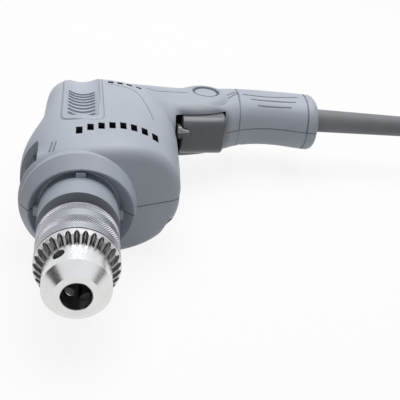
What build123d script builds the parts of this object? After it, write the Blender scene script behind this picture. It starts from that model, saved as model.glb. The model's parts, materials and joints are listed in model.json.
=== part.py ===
from build123d import *
import math
import os

os.makedirs("parts", exist_ok=True)

# Frame: the spindle turns on the Y axis, the chuck points to -Y and the handle to +X.
# The tool lies on its right side, so its left side faces +Z and the shells part at Z = 0.
# The origin is on the spindle axis, half way along the clean part of the clamping collar.
# Everything is in millimetres.

# Housing form: stations of the motor body as (y, top x, bottom x, half width, squareness of the top)
body_stations = [
    (10, -30, 54, 31.5, 2.35),
    (28, -33, 57, 34, 2.35),
    (47, -33.4, 57.8, 35, 2.5),
    (64, -30, 58.8, 35, 3.2),
    (78, -25, 59.5, 34.6, 4.2),
    (90, -23.4, 60, 34, 4.4),
    (104, -22.8, 59.5, 33, 4.4),
    (122, -22.5, 57.5, 30.8, 4.2),
    (140, -22.3, 53.5, 27, 3.6),
    (156, -21.6, 48, 21.5, 2.8),
    (168, -18, 41, 15, 2.4),
    (176, -9, 30, 7, 2.35),
]
# Stations of the handle as (x, front y, rear y, half width, squareness)
handle_stations = [
    (28, 113, 160, 25, 2.4),
    (45, 116, 160, 24, 2.6),
    (60, 119, 164, 21.5, 3.0),
    (78, 120.5, 171, 19.5, 3.1),
    (96, 127.3, 178, 18.7, 2.7),
    (107, 134, 181, 18.4, 2.45),
    (122, 139.5, 182, 18.2, 2.3),
    (142, 140, 181, 18.2, 2.3),
    (156, 137.5, 179.6, 18.6, 2.3),
    (165, 138, 178.5, 18.2, 2.3),
]
grooved_stations = (5, 8)
body_power = 2.35
oval_points = 16
wall = 2.6
parting_gap = 0.3
rest_half_width = 34.7
front_cone_y = 17.2
front_cone_radius = 28
front_cone_slope = 0.44
front_edge_fillet = 9
handle_end_fillet = 5
junction_fillet = 14
rib_thickness = 3
vent_width = 3.6
vent_length = 8.4
vent_pitch = 6.1
front_vent_count = 8
front_vent_arc_radius = 48
front_vent_arc_x = 26
front_vent_arc_y = 1.6
front_vent_x = 19.6
rear_vent_count = 4
rear_vent_y = 132.6
rear_vent_length = 7
rear_vent_x = 27
vent_bottom_z = 21
finger_rest_x = -0.7
finger_rest_width = 20
finger_rest_depth = 3.6
finger_rest_front_y = 61
finger_rest_rear_y = 182
finger_rest_arc_y = 60.9
finger_rest_arc_radius = 344
finger_rest_floor_z = 31.2
finger_rib_count = 8
finger_rib_pitch = 5.8
finger_rib_first = 5.5
finger_rib_width = 1.6
finger_rib_height = 0.9
finger_rib_length = 15.6
handle_groove_depth = 0.7
handle_groove_width = 1.2
screw_places = [
    (50.5, 32),
    (-26, 52.5),
    (53.5, 88),
    (-13, 92),
    (-6, 156),
    (46, 146),
    (112, 145.5),
    (132, 173),
]
screw_radius = 1.9
screw_head_radius = 3.5
screw_head_height = 2.4
screw_head_z = -12
screw_tip_z = 10
screw_clearance = 0.1
boss_radius = 5.2

# Front ring of the shells and the barrel that they clamp
collar_radius = 21.5
collar_root_radius = 21.1
collar_front_y = -8
collar_tab_y = 8
collar_tab_count = 4
collar_tab_width = 5
collar_tab_height = 2.3
collar_tab_rear_y = 10.8
ring_radius = 31.5
ring_foot_y = 16.5
ring_front_y = 9
ring_edge_x = 1.5
ring_edge_half_x = 28.6
ring_edge_half_z = 26
ring_land = 0.8
ring_mouth_radius = 22.2
ring_mouth_depth = 6
barrel_lip = 2
barrel_flange_radius = 26
barrel_flange_width = 3.5
ring_rear_lip = 2
ring_rear_bore = 21
seat_clearance = 0.1

# Spindle line
running_clearance = 0.05
hammer_stroke = 1.6
spindle_radius = 6
spindle_shoulder_radius = 8
spindle_thread_radius = 6.35
spindle_thread_length = 17
spindle_journal_radius = 5
front_bearing_radius = 16
front_bearing_width = 10
front_bearing_y = -5
bearing_ring_wall = 2.6
ball_radius = 2.7
ball_count = 8
fit_gap = 0.02
chuck_screw_radius = 2.5
chuck_screw_length = 12
spindle_flat = 7.2
barrel_mouth_radius = 13
spring_wire = 1.6
spring_turns = 3
spring_space = 9
retainer_thickness = 2
retainer_hole_radius = 9
gear_width = 7
ratchet_radius = 12
ratchet_teeth = 12
ratchet_tooth = 1.8
ratchet_thickness = 3.3
ratchet_gap = 0.4
bush_wall = 1.4
bush_overhang = 2

# Gear pair and motor line
motor_x = 22
gear_teeth = 44
pinion_teeth = 6
gear_addendum = 0.7
gear_dedendum = 1.3
gear_tooth_tip = 0.5
gear_tooth_root = 1.8
pinion_addendum = 1.0
pinion_dedendum = 0.95
pinion_tooth_tip = 0.5
pinion_tooth_root = 1.2
bracket_thickness = 6.5
bracket_spindle_radius = 19
bracket_motor_radius = 20
bracket_grip = 2
shaft_radius = 4
motor_bearing_radius = 11
motor_bearing_width = 7
fan_radius = 27
fan_width = 7.5
fan_gap = 2
fan_blades = 11
fan_hub_radius = 8
fan_disc = 1.6
baffle_gap = 1.5
baffle_thickness = 1.6
baffle_hole_radius = 18
baffle_radius = 29
field_radius = 28.3
field_flat = 25
field_bore = 17.3
field_length = 42
field_gap = 2.4
coil_overhang = 4
coil_inner_radius = 19
coil_outer_radius = 25
coil_bar_angle = 50
coil_bar_spread = 11
armature_radius = 16.6
armature_slots = 12
armature_slot_width = 2.5
armature_slot_depth = 5
winding_overhang = 6.5
commutator_radius = 11.5
commutator_length = 14
commutator_gap = 3
commutator_bars = 24
commutator_slot_depth = 1
commutator_slot_width = 0.6
winding_inset = 1.1
brush_width = 5
brush_thickness = 8
brush_length = 9
brush_spring_wire = 0.6
brush_spring_turns = 4
holder_wall = 1.2
holder_length = 13
rear_bearing_gap = 6
bearing_sleeve_wall = 2

# Chuck
nose_y = -68
nose_face_radius = 10.9
nose_cone_radius = 15.7
chuck_radius = 16.6
chuck_bore_radius = 7.25
chuck_rear_y = -16
sleeve_radius = 21.1
ring_teeth = 30
ring_tooth_depth = 1.7
ring_face_inner_y = -50
ring_face_outer_y = -44
ring_rear_y = -42.4
knurl_band_length = 7.8
knurl_relief = 0.45
jaw_angle = 15
jaw_radius = 3.5
jaw_front_y = -58
jaw_front_axis_radius = 6.6
jaw_length = 36.5
jaw_travel = 21
jaw_grip_radius = 6.4
jaw_first_angle = 63.4
jaw_count = 3
jaw_clearance = 0.1
key_hole_radius = 3.2
key_hole_y = -54.7
nose_cone_length = 4.8
ring_tooth_inner_depth = 0.8
ring_tooth_angle = 37
nut_y = -46.2
nut_width = 5
nut_radius = 18
nut_seat_gap = 0.4
nut_neck_radius = 13.3
nut_jaw_gap = 0.3
chuck_flange_y = -20.5
chuck_flange_radius = 19.5
sleeve_flange_gap = 0.4
sleeve_wide_y = -31
sleeve_rear_y = -17.3
knurl_front_y = -37
knurl_gap = 2.5
sleeve_groove_radius = 20.4
chuck_screw_head_radius = 4.6
chuck_screw_head_height = 3
chuck_web = 3

# Handle controls
trigger_top_x = 65.6
trigger_bottom_x = 95.6
trigger_front_y = 114
trigger_slope = 4
trigger_rear_y = 131
trigger_half_width = 13.4
trigger_bevel = 5
trigger_travel = 6.5
trigger_gap = 0.6
stem_radius = 3
stem_length = 14
stem_x = 81
switch_gap = 1
switch_length = 24
switch_half_width = 8.5
lock_x = 84
lock_y = 150.5
lock_top_z = 19.8
lock_radius = 8
lock_boss_radius = 12
lock_boss_top_z = 20.4
lock_boss_bottom_z = 14.6
lock_travel = 3
lock_flange = 1.6
lock_boss_edge = 1.2
control_clearance = 0.3
lever_swing = 10
lever_pivot_y = 144
lever_pivot_radius = 2
lever_hub_radius = 4.5
lever_arm_width = 7
lever_tip_width = 6
lever_tip_y = 108.5
lever_tip_length = 4
lever_tip_drop = 7.5
lever_tip_taper = 12
lever_thickness = 2.4
lever_lift = 0.6
mode_slot_front_y = 22
mode_slot_rear_y = 44
mode_slot_half_width = 24.5
mode_slot_floor_x = -23.4
mode_slot_wall = 1.7
mode_lever_width = 12
mode_travel = 8
mode_pin_radius = 2
mode_plate_thickness = 2.5
mode_plate_half_width = 11.6
mode_thumb_top_x = -30.5
mode_thumb_length = 12
mode_ridge_count = 4
mode_ridge_depth = 0.8
mode_clip_radius = 3
mode_clip_thickness = 0.8
switch_pin_length = 3.4

capacitor_x = (104, 120)
capacitor_y = (152, 164)
capacitor_half_width = 6
lever_window_x = 61

# Cord
cord_radius = 3.75
cord_y = 162
guard_radius = 8.25
guard_tip_radius = 7.3
guard_tip_x = 235
guard_neck_radius = 6.3
guard_flange_radius = 9
guard_flange_width = 3.5
cord_inner_x = 130
clamp_x = 145
clamp_half_width = 4
clamp_thickness = 2.5
clamp_screw_reach = 10
clamp_end_margin = 4.5
clamp_saddle_half = 5
clamp_boss_radius = 4
clamp_boss_depth = 14.2
clamp_screw_radius = 1.4
clamp_screw_length = 9
clamp_head_radius = 2.6
clamp_head_height = 2
# Slopes of the free cord's runs, in degrees, from the guard down to the floor
cord_slopes = [0, -16, -33, -38, -26, -11, 0]
# Headings of the cord's tail, in degrees from +X, from the coil to the plug
tail_headings = [0, 9, 18]
tail_run = 19
# Half turns of the coil, by radius: inwards, the climb to the second layer, and outwards again
coil_first_radius = 58
coil_radius_step = 4
coil_inward_half_turns = 7
coil_outward_half_turns = 6
coil_layer_step = 8
# Tie around the coil's turns on its far side
tie_width = 10
tie_thickness = 0.8
tie_gap = 0.3
plug_width = 35
plug_length = 36
plug_edge = 5
plug_neck_radius = 6.5
plug_neck_length = 18
plug_pin_radius = 2.4
plug_pin_length = 19
plug_pin_spacing = 19

# Places along the spindle and motor lines, worked out from the sizes above
bearing_rear_y = front_bearing_y + front_bearing_width
retainer_y = bearing_rear_y + spring_space
lip_y = ring_front_y + ring_mouth_depth
flange_y = lip_y + barrel_lip
flange_rear_y = flange_y + barrel_flange_width
shell_ring_rear_y = flange_rear_y + ring_rear_lip
gear_y = shell_ring_rear_y + 0.7
ratchet_y = gear_y + gear_width
ratchet_tip_y = ratchet_y + ratchet_thickness
fixed_tip_y = ratchet_tip_y + hammer_stroke + ratchet_gap
bracket_y = fixed_tip_y + ratchet_thickness
bracket_rear_y = bracket_y + bracket_thickness
fan_y = bracket_rear_y + fan_gap
baffle_y = fan_y + fan_width + baffle_gap
field_y = baffle_y + baffle_thickness + field_gap + coil_overhang
field_rear_y = field_y + field_length
winding_front_y = field_y - winding_overhang
winding_rear_y = field_rear_y + winding_overhang
commutator_y = winding_rear_y + commutator_gap
brush_y = commutator_y + commutator_length / 2
rear_bearing_y = commutator_y + commutator_length + rear_bearing_gap
motor_axis = Axis((motor_x, 0, 0), (0, 1, 0))
handle_end_x = handle_stations[-1][0]
floor_z = -rest_half_width


def oval(centre, half_u, half_v, power, low_power=None):
    """Points of a rounded box section, (|u| / half_u) ** power + (|v| / half_v) ** power = 1.

    The side of low u may have a power of its own.
    """
    points = []
    for step in range(oval_points):
        angle = 2 * math.pi * step / oval_points
        cosine, sine = math.cos(angle), math.sin(angle)
        exponent = 2 / (low_power if low_power and cosine < 0 else power)
        u = half_u * math.copysign(abs(cosine) ** exponent, cosine)
        v = half_v * math.copysign(abs(sine) ** exponent, sine)
        points.append((centre + u, v))
    return points


def body_form(inset):
    """The motor body, shrunk by inset, with its front face on a cone about the spindle."""
    with BuildPart() as form:
        for index, (y, top, bottom, half_width, top_power) in enumerate(body_stations):
            last = index == len(body_stations) - 1
            station_y = y - inset if last else y
            with BuildSketch(Plane.XZ.offset(-station_y)):
                with BuildLine():
                    section = oval(
                        (top + bottom) / 2,
                        (bottom - top) / 2 - inset,
                        half_width - inset,
                        body_power,
                        top_power,
                    )
                    Spline(*section, periodic=True)
                make_face()
        loft()
        reach = 80
        rear = body_stations[-1][0] + reach
        cone_y = front_cone_y + inset * math.hypot(1, front_cone_slope)
        with BuildSketch(Plane.XY):
            with BuildLine():
                Polyline(
                    (0, cone_y - front_cone_slope * front_cone_radius),
                    (reach, cone_y + front_cone_slope * (reach - front_cone_radius)),
                    (reach, rear),
                    (0, rear),
                    close=True,
                )
            make_face()
        revolve(axis=Axis.Y, mode=Mode.INTERSECT)
        front_edges = form.edges().filter_by(lambda e: e.length > 4 * ring_radius and e.center().Y < fan_y)
        fillet(front_edges, front_edge_fillet - inset)
    return form.part


def handle_form(inset):
    """The handle, shrunk by inset, with a rounded end."""
    with BuildPart() as form:
        for index, (x, front, rear, half_width, power) in enumerate(handle_stations):
            last = index == len(handle_stations) - 1
            station_x = x - inset if last else x
            with BuildSketch(Plane.YZ.offset(station_x)):
                with BuildLine():
                    section = oval(
                        (front + rear) / 2, (rear - front) / 2 - inset, half_width - inset, power
                    )
                    Spline(*section, periodic=True)
                make_face()
        loft()
        end_edges = form.faces().sort_by(Axis.X)[-1].edges()
        fillet(end_edges, handle_end_fillet - inset)
    return form.part


def outer_form():
    """The closed outer form of both shells together, without the front ring."""
    with BuildPart() as form:
        add(body_form(0))
        add(handle_form(0))
        saddle = form.edges(Select.NEW)
        fillet(saddle, junction_fillet)
    return form.part


def bracket_outline(extra):
    """Outline of the bearing bracket, grown by extra, around the spindle and motor lines."""
    with BuildSketch(Plane.XZ) as outline:
        Circle(bracket_spindle_radius + extra)
        with Locations((motor_x, 0)):
            Circle(bracket_motor_radius + extra)
        make_hull()
    return outline.sketch


def slab(sketch, front_y, rear_y):
    """A sketch drawn on the XZ plane, made into a slab from front_y to rear_y."""
    with BuildPart() as block:
        add(sketch)
        extrude(amount=rear_y - front_y, dir=(0, 1, 0))
    return block.part.moved(Location((0, front_y, 0)))


def drum(radius, front_y, rear_y, x=0, hole=0):
    """A round slab on a line parallel to the spindle, with an optional hole."""
    with BuildPart() as block:
        with BuildSketch(Plane.XZ.offset(-front_y)):
            with Locations((x, 0)):
                Circle(radius)
                if hole:
                    Circle(hole, mode=Mode.SUBTRACT)
        extrude(amount=rear_y - front_y, dir=(0, 1, 0))
    return block.part


def block(x_range, y_range, z_range):
    """A box between the given limits."""
    with BuildPart() as box:
        limits = (x_range, y_range, z_range)
        with Locations(tuple((low + high) / 2 for low, high in limits)):
            Box(*[high - low for low, high in limits])
    return box.part


def turned(profile, x=0):
    """A turned piece: (radius, y) points revolved about a line parallel to the spindle."""
    with BuildPart() as piece:
        with BuildSketch(Plane.XY):
            with BuildLine():
                Polyline(*[(x + radius, y) for radius, y in profile], close=True)
            make_face()
        revolve(axis=Axis((x, 0, 0), (0, 1, 0)))
    return piece.part


# Places inside the shells
finger_rest_radius = finger_rest_width**2 / 8 / finger_rest_depth + finger_rest_depth / 2
rest_centre_z = finger_rest_floor_z - finger_rest_arc_radius
rest_axis = Axis((finger_rest_x, finger_rest_arc_y, rest_centre_z), (-1, 0, 0))
lip = rib_thickness / 2
bracket_slab = (bracket_y - lip, bracket_rear_y + lip / 2)
baffle_rear_y = baffle_y + baffle_thickness
baffle_slab = (baffle_y - lip / 2, baffle_rear_y + lip)
rear_bearing_rear_y = rear_bearing_y + motor_bearing_width
rear_slab = (rear_bearing_y - lip, rear_bearing_rear_y + lip)
sleeve_seat_radius = motor_bearing_radius + bearing_sleeve_wall
holder_half_x = brush_width / 2 + holder_wall
holder_half_y = brush_thickness / 2 + holder_wall
holder_inner_z = commutator_radius + 1.5
holder_outer_z = holder_inner_z + holder_length
switch_y = trigger_rear_y + trigger_travel + switch_gap
switch_rear_y = switch_y + switch_length
switch_x = (trigger_top_x - 0.2, trigger_bottom_x + 1)
mode_y = (mode_slot_front_y + mode_slot_rear_y) / 2
clamp_screw_places = [(clamp_x, cord_y - clamp_screw_reach), (clamp_x, cord_y + clamp_screw_reach)]
clamp_z = cord_radius + seat_clearance
far = 100
half_z = (-1, far)


def rest_angle(y):
    """Angle round the axis of the finger rest, in degrees, at a place y along it."""
    return math.degrees(math.asin((y - finger_rest_arc_y) / finger_rest_arc_radius))


def rest_section(y):
    """Plane across the finger rest at a place y along it, centred on the circle of its trough."""
    angle = math.radians(rest_angle(y))
    out = Vector(0, math.sin(angle), math.cos(angle))
    return Plane(
        origin=Vector(rest_axis.position) + out * (finger_rest_arc_radius + finger_rest_radius),
        x_dir=(1, 0, 0),
        z_dir=(0, math.cos(angle), -math.sin(angle)),
    )


def grown(limits, extra):
    """The limits (low, high), moved apart by extra at both ends."""
    return (limits[0] - extra, limits[1] + extra)


with BuildPart() as seats:
    add(slab(bracket_outline(-bracket_grip), *bracket_slab))
    add(slab(bracket_outline(seat_clearance), *grown((bracket_y, bracket_rear_y), seat_clearance)))
    add(drum(baffle_radius - bracket_grip, *baffle_slab, motor_x))
    add(drum(baffle_radius + seat_clearance, *grown((baffle_y, baffle_rear_y), seat_clearance), motor_x))
    with BuildSketch(Plane.XZ.offset(-field_y)):
        with Locations((motor_x, 0)):
            Circle(field_radius + seat_clearance)
            Rectangle(2 * (field_flat + seat_clearance), 4 * field_radius, mode=Mode.INTERSECT)
    extrude(amount=field_length, dir=(0, 1, 0))
    add(
        block(
            grown((motor_x, motor_x), holder_half_x + seat_clearance),
            grown((brush_y, brush_y), holder_half_y + seat_clearance),
            (0, holder_outer_z),
        )
    )
    add(drum(motor_bearing_radius - bracket_grip, *rear_slab, motor_x))
    add(
        drum(
            sleeve_seat_radius + seat_clearance,
            *grown((rear_bearing_y, rear_bearing_rear_y), seat_clearance),
            motor_x,
        )
    )
    switch_space = switch_half_width + seat_clearance
    switch_seat_y = grown((switch_y, switch_rear_y), seat_clearance)
    add(block(grown(switch_x, seat_clearance), switch_seat_y, (-1, switch_space)))
    capacitor_space = capacitor_half_width + seat_clearance
    add(block(grown(capacitor_x, seat_clearance), grown(capacitor_y, seat_clearance), (-1, capacitor_space)))

with BuildPart() as ribs:
    for y_range in (
        bracket_slab,
        baffle_slab,
        (field_y + rib_thickness, field_y + 2 * rib_thickness),
        (field_rear_y - 2 * rib_thickness, field_rear_y - rib_thickness),
    ):
        add(block((-far, far), y_range, half_z))
    add(block((-far, motor_x + sleeve_seat_radius + rib_thickness), rear_slab, half_z))
    add(
        block(
            grown((motor_x, motor_x), holder_half_x + rib_thickness),
            grown((brush_y, brush_y), holder_half_y + lip),
            (holder_inner_z + rib_thickness, far),
        )
    )
    for wall_x in (switch_x[0] + rib_thickness, switch_x[1] - 2 * rib_thickness):
        add(block((wall_x, wall_x + rib_thickness), (switch_y + lip, 2 * far), half_z))
    wall_x = (capacitor_x[0] + capacitor_x[1]) / 2
    add(block(grown((wall_x, wall_x), lip), (far, 2 * far), half_z))
    add(drum(ring_radius, ring_front_y, shell_ring_rear_y))
    with BuildSketch(Plane.XY):
        with Locations(*screw_places):
            Circle(boss_radius)
    extrude(amount=far)
    add(
        block(
            (-far, mode_slot_floor_x + mode_slot_wall),
            grown((mode_slot_front_y, mode_slot_rear_y), mode_slot_wall),
            (-1, mode_slot_half_width + mode_slot_wall),
        )
    )
    with BuildSketch(rest_section(finger_rest_front_y - wall)):
        Circle(finger_rest_radius + wall)
    backed_angle = rest_angle(finger_rest_rear_y) - rest_angle(finger_rest_front_y - wall)
    revolve(axis=rest_axis, revolution_arc=backed_angle)
    add(seats.part, mode=Mode.SUBTRACT)

with BuildPart() as cavity:
    add(body_form(wall))
    add(handle_form(wall))
    split(bisect_by=Plane.XY, keep=Keep.TOP)
    add(ribs.part, mode=Mode.SUBTRACT)

with BuildPart() as handle_grooves:
    for index in grooved_stations:
        x, front, rear, half_width, power = handle_stations[index]
        with BuildSketch(Plane.YZ.offset(x)):
            with Locations(((front + rear) / 2, 0)):
                Rectangle(2 * (rear - front), 4 * half_width)
            with BuildLine():
                section = oval(
                    (front + rear) / 2,
                    (rear - front) / 2 - handle_groove_depth,
                    half_width - handle_groove_depth,
                    power,
                )
                Spline(*section, periodic=True)
            make_face(mode=Mode.SUBTRACT)
        extrude(amount=handle_groove_width)

with BuildPart() as finger_rest:
    with BuildSketch(rest_section(finger_rest_front_y)):
        Circle(finger_rest_radius)
    rest_arc = rest_angle(finger_rest_rear_y) - rest_angle(finger_rest_front_y)
    revolve(axis=rest_axis, revolution_arc=rest_arc)
    for index in range(finger_rib_count):
        with BuildSketch(rest_section(finger_rest_front_y + finger_rib_first + index * finger_rib_pitch)):
            Circle(finger_rest_radius + finger_rib_height)
            Circle(finger_rest_radius - finger_rib_height, mode=Mode.SUBTRACT)
            Rectangle(finger_rib_length, 4 * finger_rest_radius, mode=Mode.INTERSECT)
        extrude(amount=finger_rib_width, mode=Mode.SUBTRACT)

# Front ring: an oval front edge on a round foot, with a mouth that narrows to the collar
with BuildPart() as front_ring:
    with BuildSketch(Plane.XZ.offset(-ring_front_y)):
        with Locations((ring_edge_x, 0)):
            Ellipse(ring_edge_half_x, ring_edge_half_z)
    with BuildSketch(Plane.XZ.offset(-ring_foot_y)):
        Circle(ring_radius)
    loft(ruled=True)
    add(drum(ring_radius, ring_foot_y, shell_ring_rear_y))

with BuildPart() as ring_mouth:
    with BuildSketch(Plane.XZ.offset(-ring_front_y)):
        with Locations((ring_edge_x, 0)):
            Ellipse(ring_edge_half_x - ring_land, ring_edge_half_z - ring_land)
    with BuildSketch(Plane.XZ.offset(-lip_y)):
        Circle(ring_mouth_radius)
    loft(ruled=True)
    add(drum(ring_mouth_radius, 0, lip_y))

# The front vents lie on an arc
front_vent_places = []
for index in range(front_vent_count):
    x = front_vent_x + (index - (front_vent_count - 1) / 2) * vent_pitch
    y = front_vent_arc_y + math.sqrt(front_vent_arc_radius**2 - (x - front_vent_arc_x) ** 2)
    front_vent_places.append((x, y))

# Everything that both shells share, drawn on the left one
with BuildPart() as half_shell:
    add(outer_form())
    add(front_ring.part)
    split(bisect_by=Plane.XY.offset(parting_gap / 2), keep=Keep.TOP)
    split(bisect_by=Plane.XY.offset(rest_half_width), keep=Keep.BOTTOM)
    add(cavity.part, mode=Mode.SUBTRACT)
    add(ring_mouth.part, mode=Mode.SUBTRACT)
    add(drum(collar_root_radius + seat_clearance, lip_y, flange_y), mode=Mode.SUBTRACT)
    add(
        drum(barrel_flange_radius + seat_clearance, *grown((flange_y, flange_rear_y), seat_clearance)),
        mode=Mode.SUBTRACT,
    )
    add(drum(ring_rear_bore, flange_rear_y, shell_ring_rear_y), mode=Mode.SUBTRACT)
    add(handle_grooves.part, mode=Mode.SUBTRACT)
    add(finger_rest.part, mode=Mode.SUBTRACT)
    # Vents
    with BuildSketch(Plane.XY.offset(vent_bottom_z)):
        with Locations(*front_vent_places):
            Rectangle(vent_width, vent_length)
        with Locations((rear_vent_x, rear_vent_y)):
            with GridLocations(vent_pitch, 0, rear_vent_count, 1):
                Rectangle(vent_width, rear_vent_length)
    extrude(amount=far, mode=Mode.SUBTRACT)
    # Openings for the trigger and reversing lever, the mode selector and the cord guard
    add(
        block(
            (lever_window_x, trigger_bottom_x + trigger_gap),
            (0, switch_y - lip),
            (-1, trigger_half_width + trigger_gap),
        ),
        mode=Mode.SUBTRACT,
    )
    add(
        block(
            (-far, mode_slot_floor_x),
            (mode_slot_front_y, mode_slot_rear_y),
            (-1, mode_slot_half_width),
        ),
        mode=Mode.SUBTRACT,
    )
    pin_reach = mode_pin_radius + control_clearance
    add(
        block(
            (-far, mode_slot_floor_x + 2 * mode_slot_wall),
            grown((mode_y, mode_y), pin_reach),
            (-1, mode_travel / 2 + pin_reach),
        ),
        mode=Mode.SUBTRACT,
    )
    with BuildSketch(Plane.YZ.offset(handle_end_x)):
        with Locations((cord_y, 0)):
            Circle(guard_neck_radius + seat_clearance)
    extrude(amount=-2 * wall, mode=Mode.SUBTRACT)

with BuildPart() as lock_boss:
    with BuildSketch(Plane.XY.offset(lock_boss_bottom_z)):
        with Locations((lock_x, lock_y)):
            Circle(lock_boss_radius)
    extrude(amount=lock_boss_top_z - lock_boss_bottom_z)
    fillet(lock_boss.edges().sort_by(Axis.Z)[-1], lock_boss_edge)

with BuildPart() as housing_left:
    add(half_shell.part)
    add(lock_boss.part)
    with BuildSketch(Plane.XY.offset(lock_boss_bottom_z)):
        with Locations((lock_x, lock_y)):
            Circle(lock_radius + control_clearance)
    extrude(amount=far, mode=Mode.SUBTRACT)
    with BuildSketch(Plane.XY):
        with Locations((lock_x, lock_y)):
            Circle(lock_radius + lock_flange + control_clearance)
    extrude(amount=lock_boss_bottom_z, mode=Mode.SUBTRACT)
    with BuildSketch(Plane.XY):
        with Locations(*screw_places):
            Circle(screw_radius + screw_clearance)
    extrude(amount=screw_tip_z + 1, mode=Mode.SUBTRACT)
housing_left.part.label = "housing_left"
export_step(housing_left.part, "parts/housing_left.step")

with BuildPart() as housing_right:
    add(half_shell.part)
    mirror(about=Plane.XY, mode=Mode.REPLACE)
    with BuildSketch(Plane.XY):
        with Locations(*screw_places):
            Circle(screw_radius + screw_clearance)
    extrude(amount=-far, mode=Mode.SUBTRACT)
    with BuildSketch(Plane.XY.offset(screw_head_z + screw_head_height)):
        with Locations(*screw_places):
            Circle(screw_head_radius + screw_clearance)
    extrude(amount=-far, mode=Mode.SUBTRACT)
    # Bosses and saddle of the cord clamp
    with BuildSketch(Plane.XY.offset(clamp_z)):
        with Locations(*clamp_screw_places):
            Circle(clamp_boss_radius)
    extrude(amount=-clamp_z - clamp_boss_depth)
    clamp_width = grown((clamp_x, clamp_x), clamp_half_width)
    saddle_depth = handle_stations[-2][3] - wall / 2
    add(block(clamp_width, grown((cord_y, cord_y), clamp_saddle_half), (-saddle_depth, -clamp_z)))
    with BuildSketch(Plane.XY.offset(clamp_z)):
        with Locations(*clamp_screw_places):
            Circle(clamp_screw_radius + fit_gap)
    extrude(amount=-clamp_screw_length, mode=Mode.SUBTRACT)
housing_right.part.label = "housing_right"
export_step(housing_right.part, "parts/housing_right.step")

with BuildPart() as housing_screws:
    with BuildSketch(Plane.XY.offset(screw_head_z)):
        with Locations(*screw_places):
            Circle(screw_head_radius)
    extrude(amount=screw_head_height)
    with BuildSketch(Plane.XY.offset(screw_head_z)):
        with Locations(*screw_places):
            Circle(screw_radius)
    extrude(amount=screw_tip_z - screw_head_z)
    # Cross recess in each head
    with BuildSketch(Plane.XY.offset(screw_head_z)):
        with Locations(*screw_places):
            Rectangle(screw_head_radius * 1.2, screw_head_radius * 0.3)
            Rectangle(screw_head_radius * 0.3, screw_head_radius * 1.2)
    extrude(amount=screw_head_height * 0.6, mode=Mode.SUBTRACT)
housing_screws.part.label = "housing_screws"
export_step(housing_screws.part, "parts/housing_screws.step")

# Barrel with the clamping collar, its index tabs and the seat of the front bearing
bearing_seat_radius = front_bearing_radius + running_clearance
with BuildPart() as front_barrel:
    add(drum(collar_radius, collar_front_y, collar_tab_y))
    add(drum(collar_root_radius, collar_tab_y, flange_y))
    add(drum(barrel_flange_radius, flange_y, flange_rear_y))
    add(drum(barrel_mouth_radius, collar_front_y, flange_rear_y), mode=Mode.SUBTRACT)
    add(drum(bearing_seat_radius, front_bearing_y - seat_clearance, flange_rear_y), mode=Mode.SUBTRACT)
    # Index tabs stand on the collar, just in front of the ring of the shells
    tab_inner_radius = collar_radius - 1
    for index in range(collar_tab_count):
        turn = math.radians(360 / collar_tab_count * index)
        outward = Vector(math.cos(turn), 0, math.sin(turn))
        foot = outward * tab_inner_radius + Vector(0, (collar_tab_y + collar_tab_rear_y) / 2, 0)
        with BuildSketch(Plane(origin=foot, x_dir=(0, 1, 0), z_dir=outward)):
            Rectangle(collar_tab_rear_y - collar_tab_y, collar_tab_width)
        extrude(amount=collar_radius + collar_tab_height - tab_inner_radius)
front_barrel.part.label = "front_barrel"
export_step(front_barrel.part, "parts/front_barrel.step")

# Front ball bearing: it slides in the barrel with the spindle
ball_circle = (spindle_radius + front_bearing_radius) / 2
ball_groove_radius = ball_radius + running_clearance
bearing_middle_y = front_bearing_y + front_bearing_width / 2
with BuildPart() as race_groove:
    with BuildSketch(Plane.XY):
        with Locations((ball_circle, bearing_middle_y)):
            Circle(ball_groove_radius)
    revolve(axis=Axis.Y)

with BuildPart() as front_bearing_outer:
    add(
        drum(
            front_bearing_radius,
            front_bearing_y,
            bearing_rear_y,
            hole=front_bearing_radius - bearing_ring_wall,
        )
    )
    add(race_groove.part, mode=Mode.SUBTRACT)
front_bearing_outer.part.label = "front_bearing_outer"
export_step(front_bearing_outer.part, "parts/front_bearing_outer.step")

with BuildPart() as front_bearing_inner:
    add(
        drum(
            spindle_radius + bearing_ring_wall,
            front_bearing_y,
            bearing_rear_y,
            hole=spindle_radius + fit_gap,
        )
    )
    add(race_groove.part, mode=Mode.SUBTRACT)
front_bearing_inner.part.label = "front_bearing_inner"
export_step(front_bearing_inner.part, "parts/front_bearing_inner.step")

with BuildPart() as front_bearing_balls:
    for index in range(ball_count):
        turn = 2 * math.pi * index / ball_count
        with Locations((ball_circle * math.cos(turn), bearing_middle_y, ball_circle * math.sin(turn))):
            Sphere(ball_radius)
front_bearing_balls.part.label = "front_bearing_balls"
export_step(front_bearing_balls.part, "parts/front_bearing_balls.step")

# Spring that pushes the spindle forward, and the plate that it leans on
spring_mean_radius = front_bearing_radius - bearing_ring_wall / 2
with BuildPart() as hammer_spring:
    spring_start = bearing_rear_y + spring_wire / 2 + seat_clearance
    with BuildLine():
        coil_line = Helix(
            pitch=(spring_space - spring_wire - 2 * seat_clearance) / spring_turns,
            height=spring_space - spring_wire - 2 * seat_clearance,
            radius=spring_mean_radius,
            center=(0, spring_start, 0),
            direction=(0, 1, 0),
        )
    with BuildSketch(Plane(origin=coil_line @ 0, z_dir=coil_line % 0)):
        Circle(spring_wire / 2)
    sweep(path=coil_line, is_frenet=True)
hammer_spring.part.label = "hammer_spring"
export_step(hammer_spring.part, "parts/hammer_spring.step")

with BuildPart() as spring_retainer:
    add(drum(front_bearing_radius, retainer_y, retainer_y + retainer_thickness, hole=retainer_hole_radius))
spring_retainer.part.label = "spring_retainer"
export_step(spring_retainer.part, "parts/spring_retainer.step")

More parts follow.
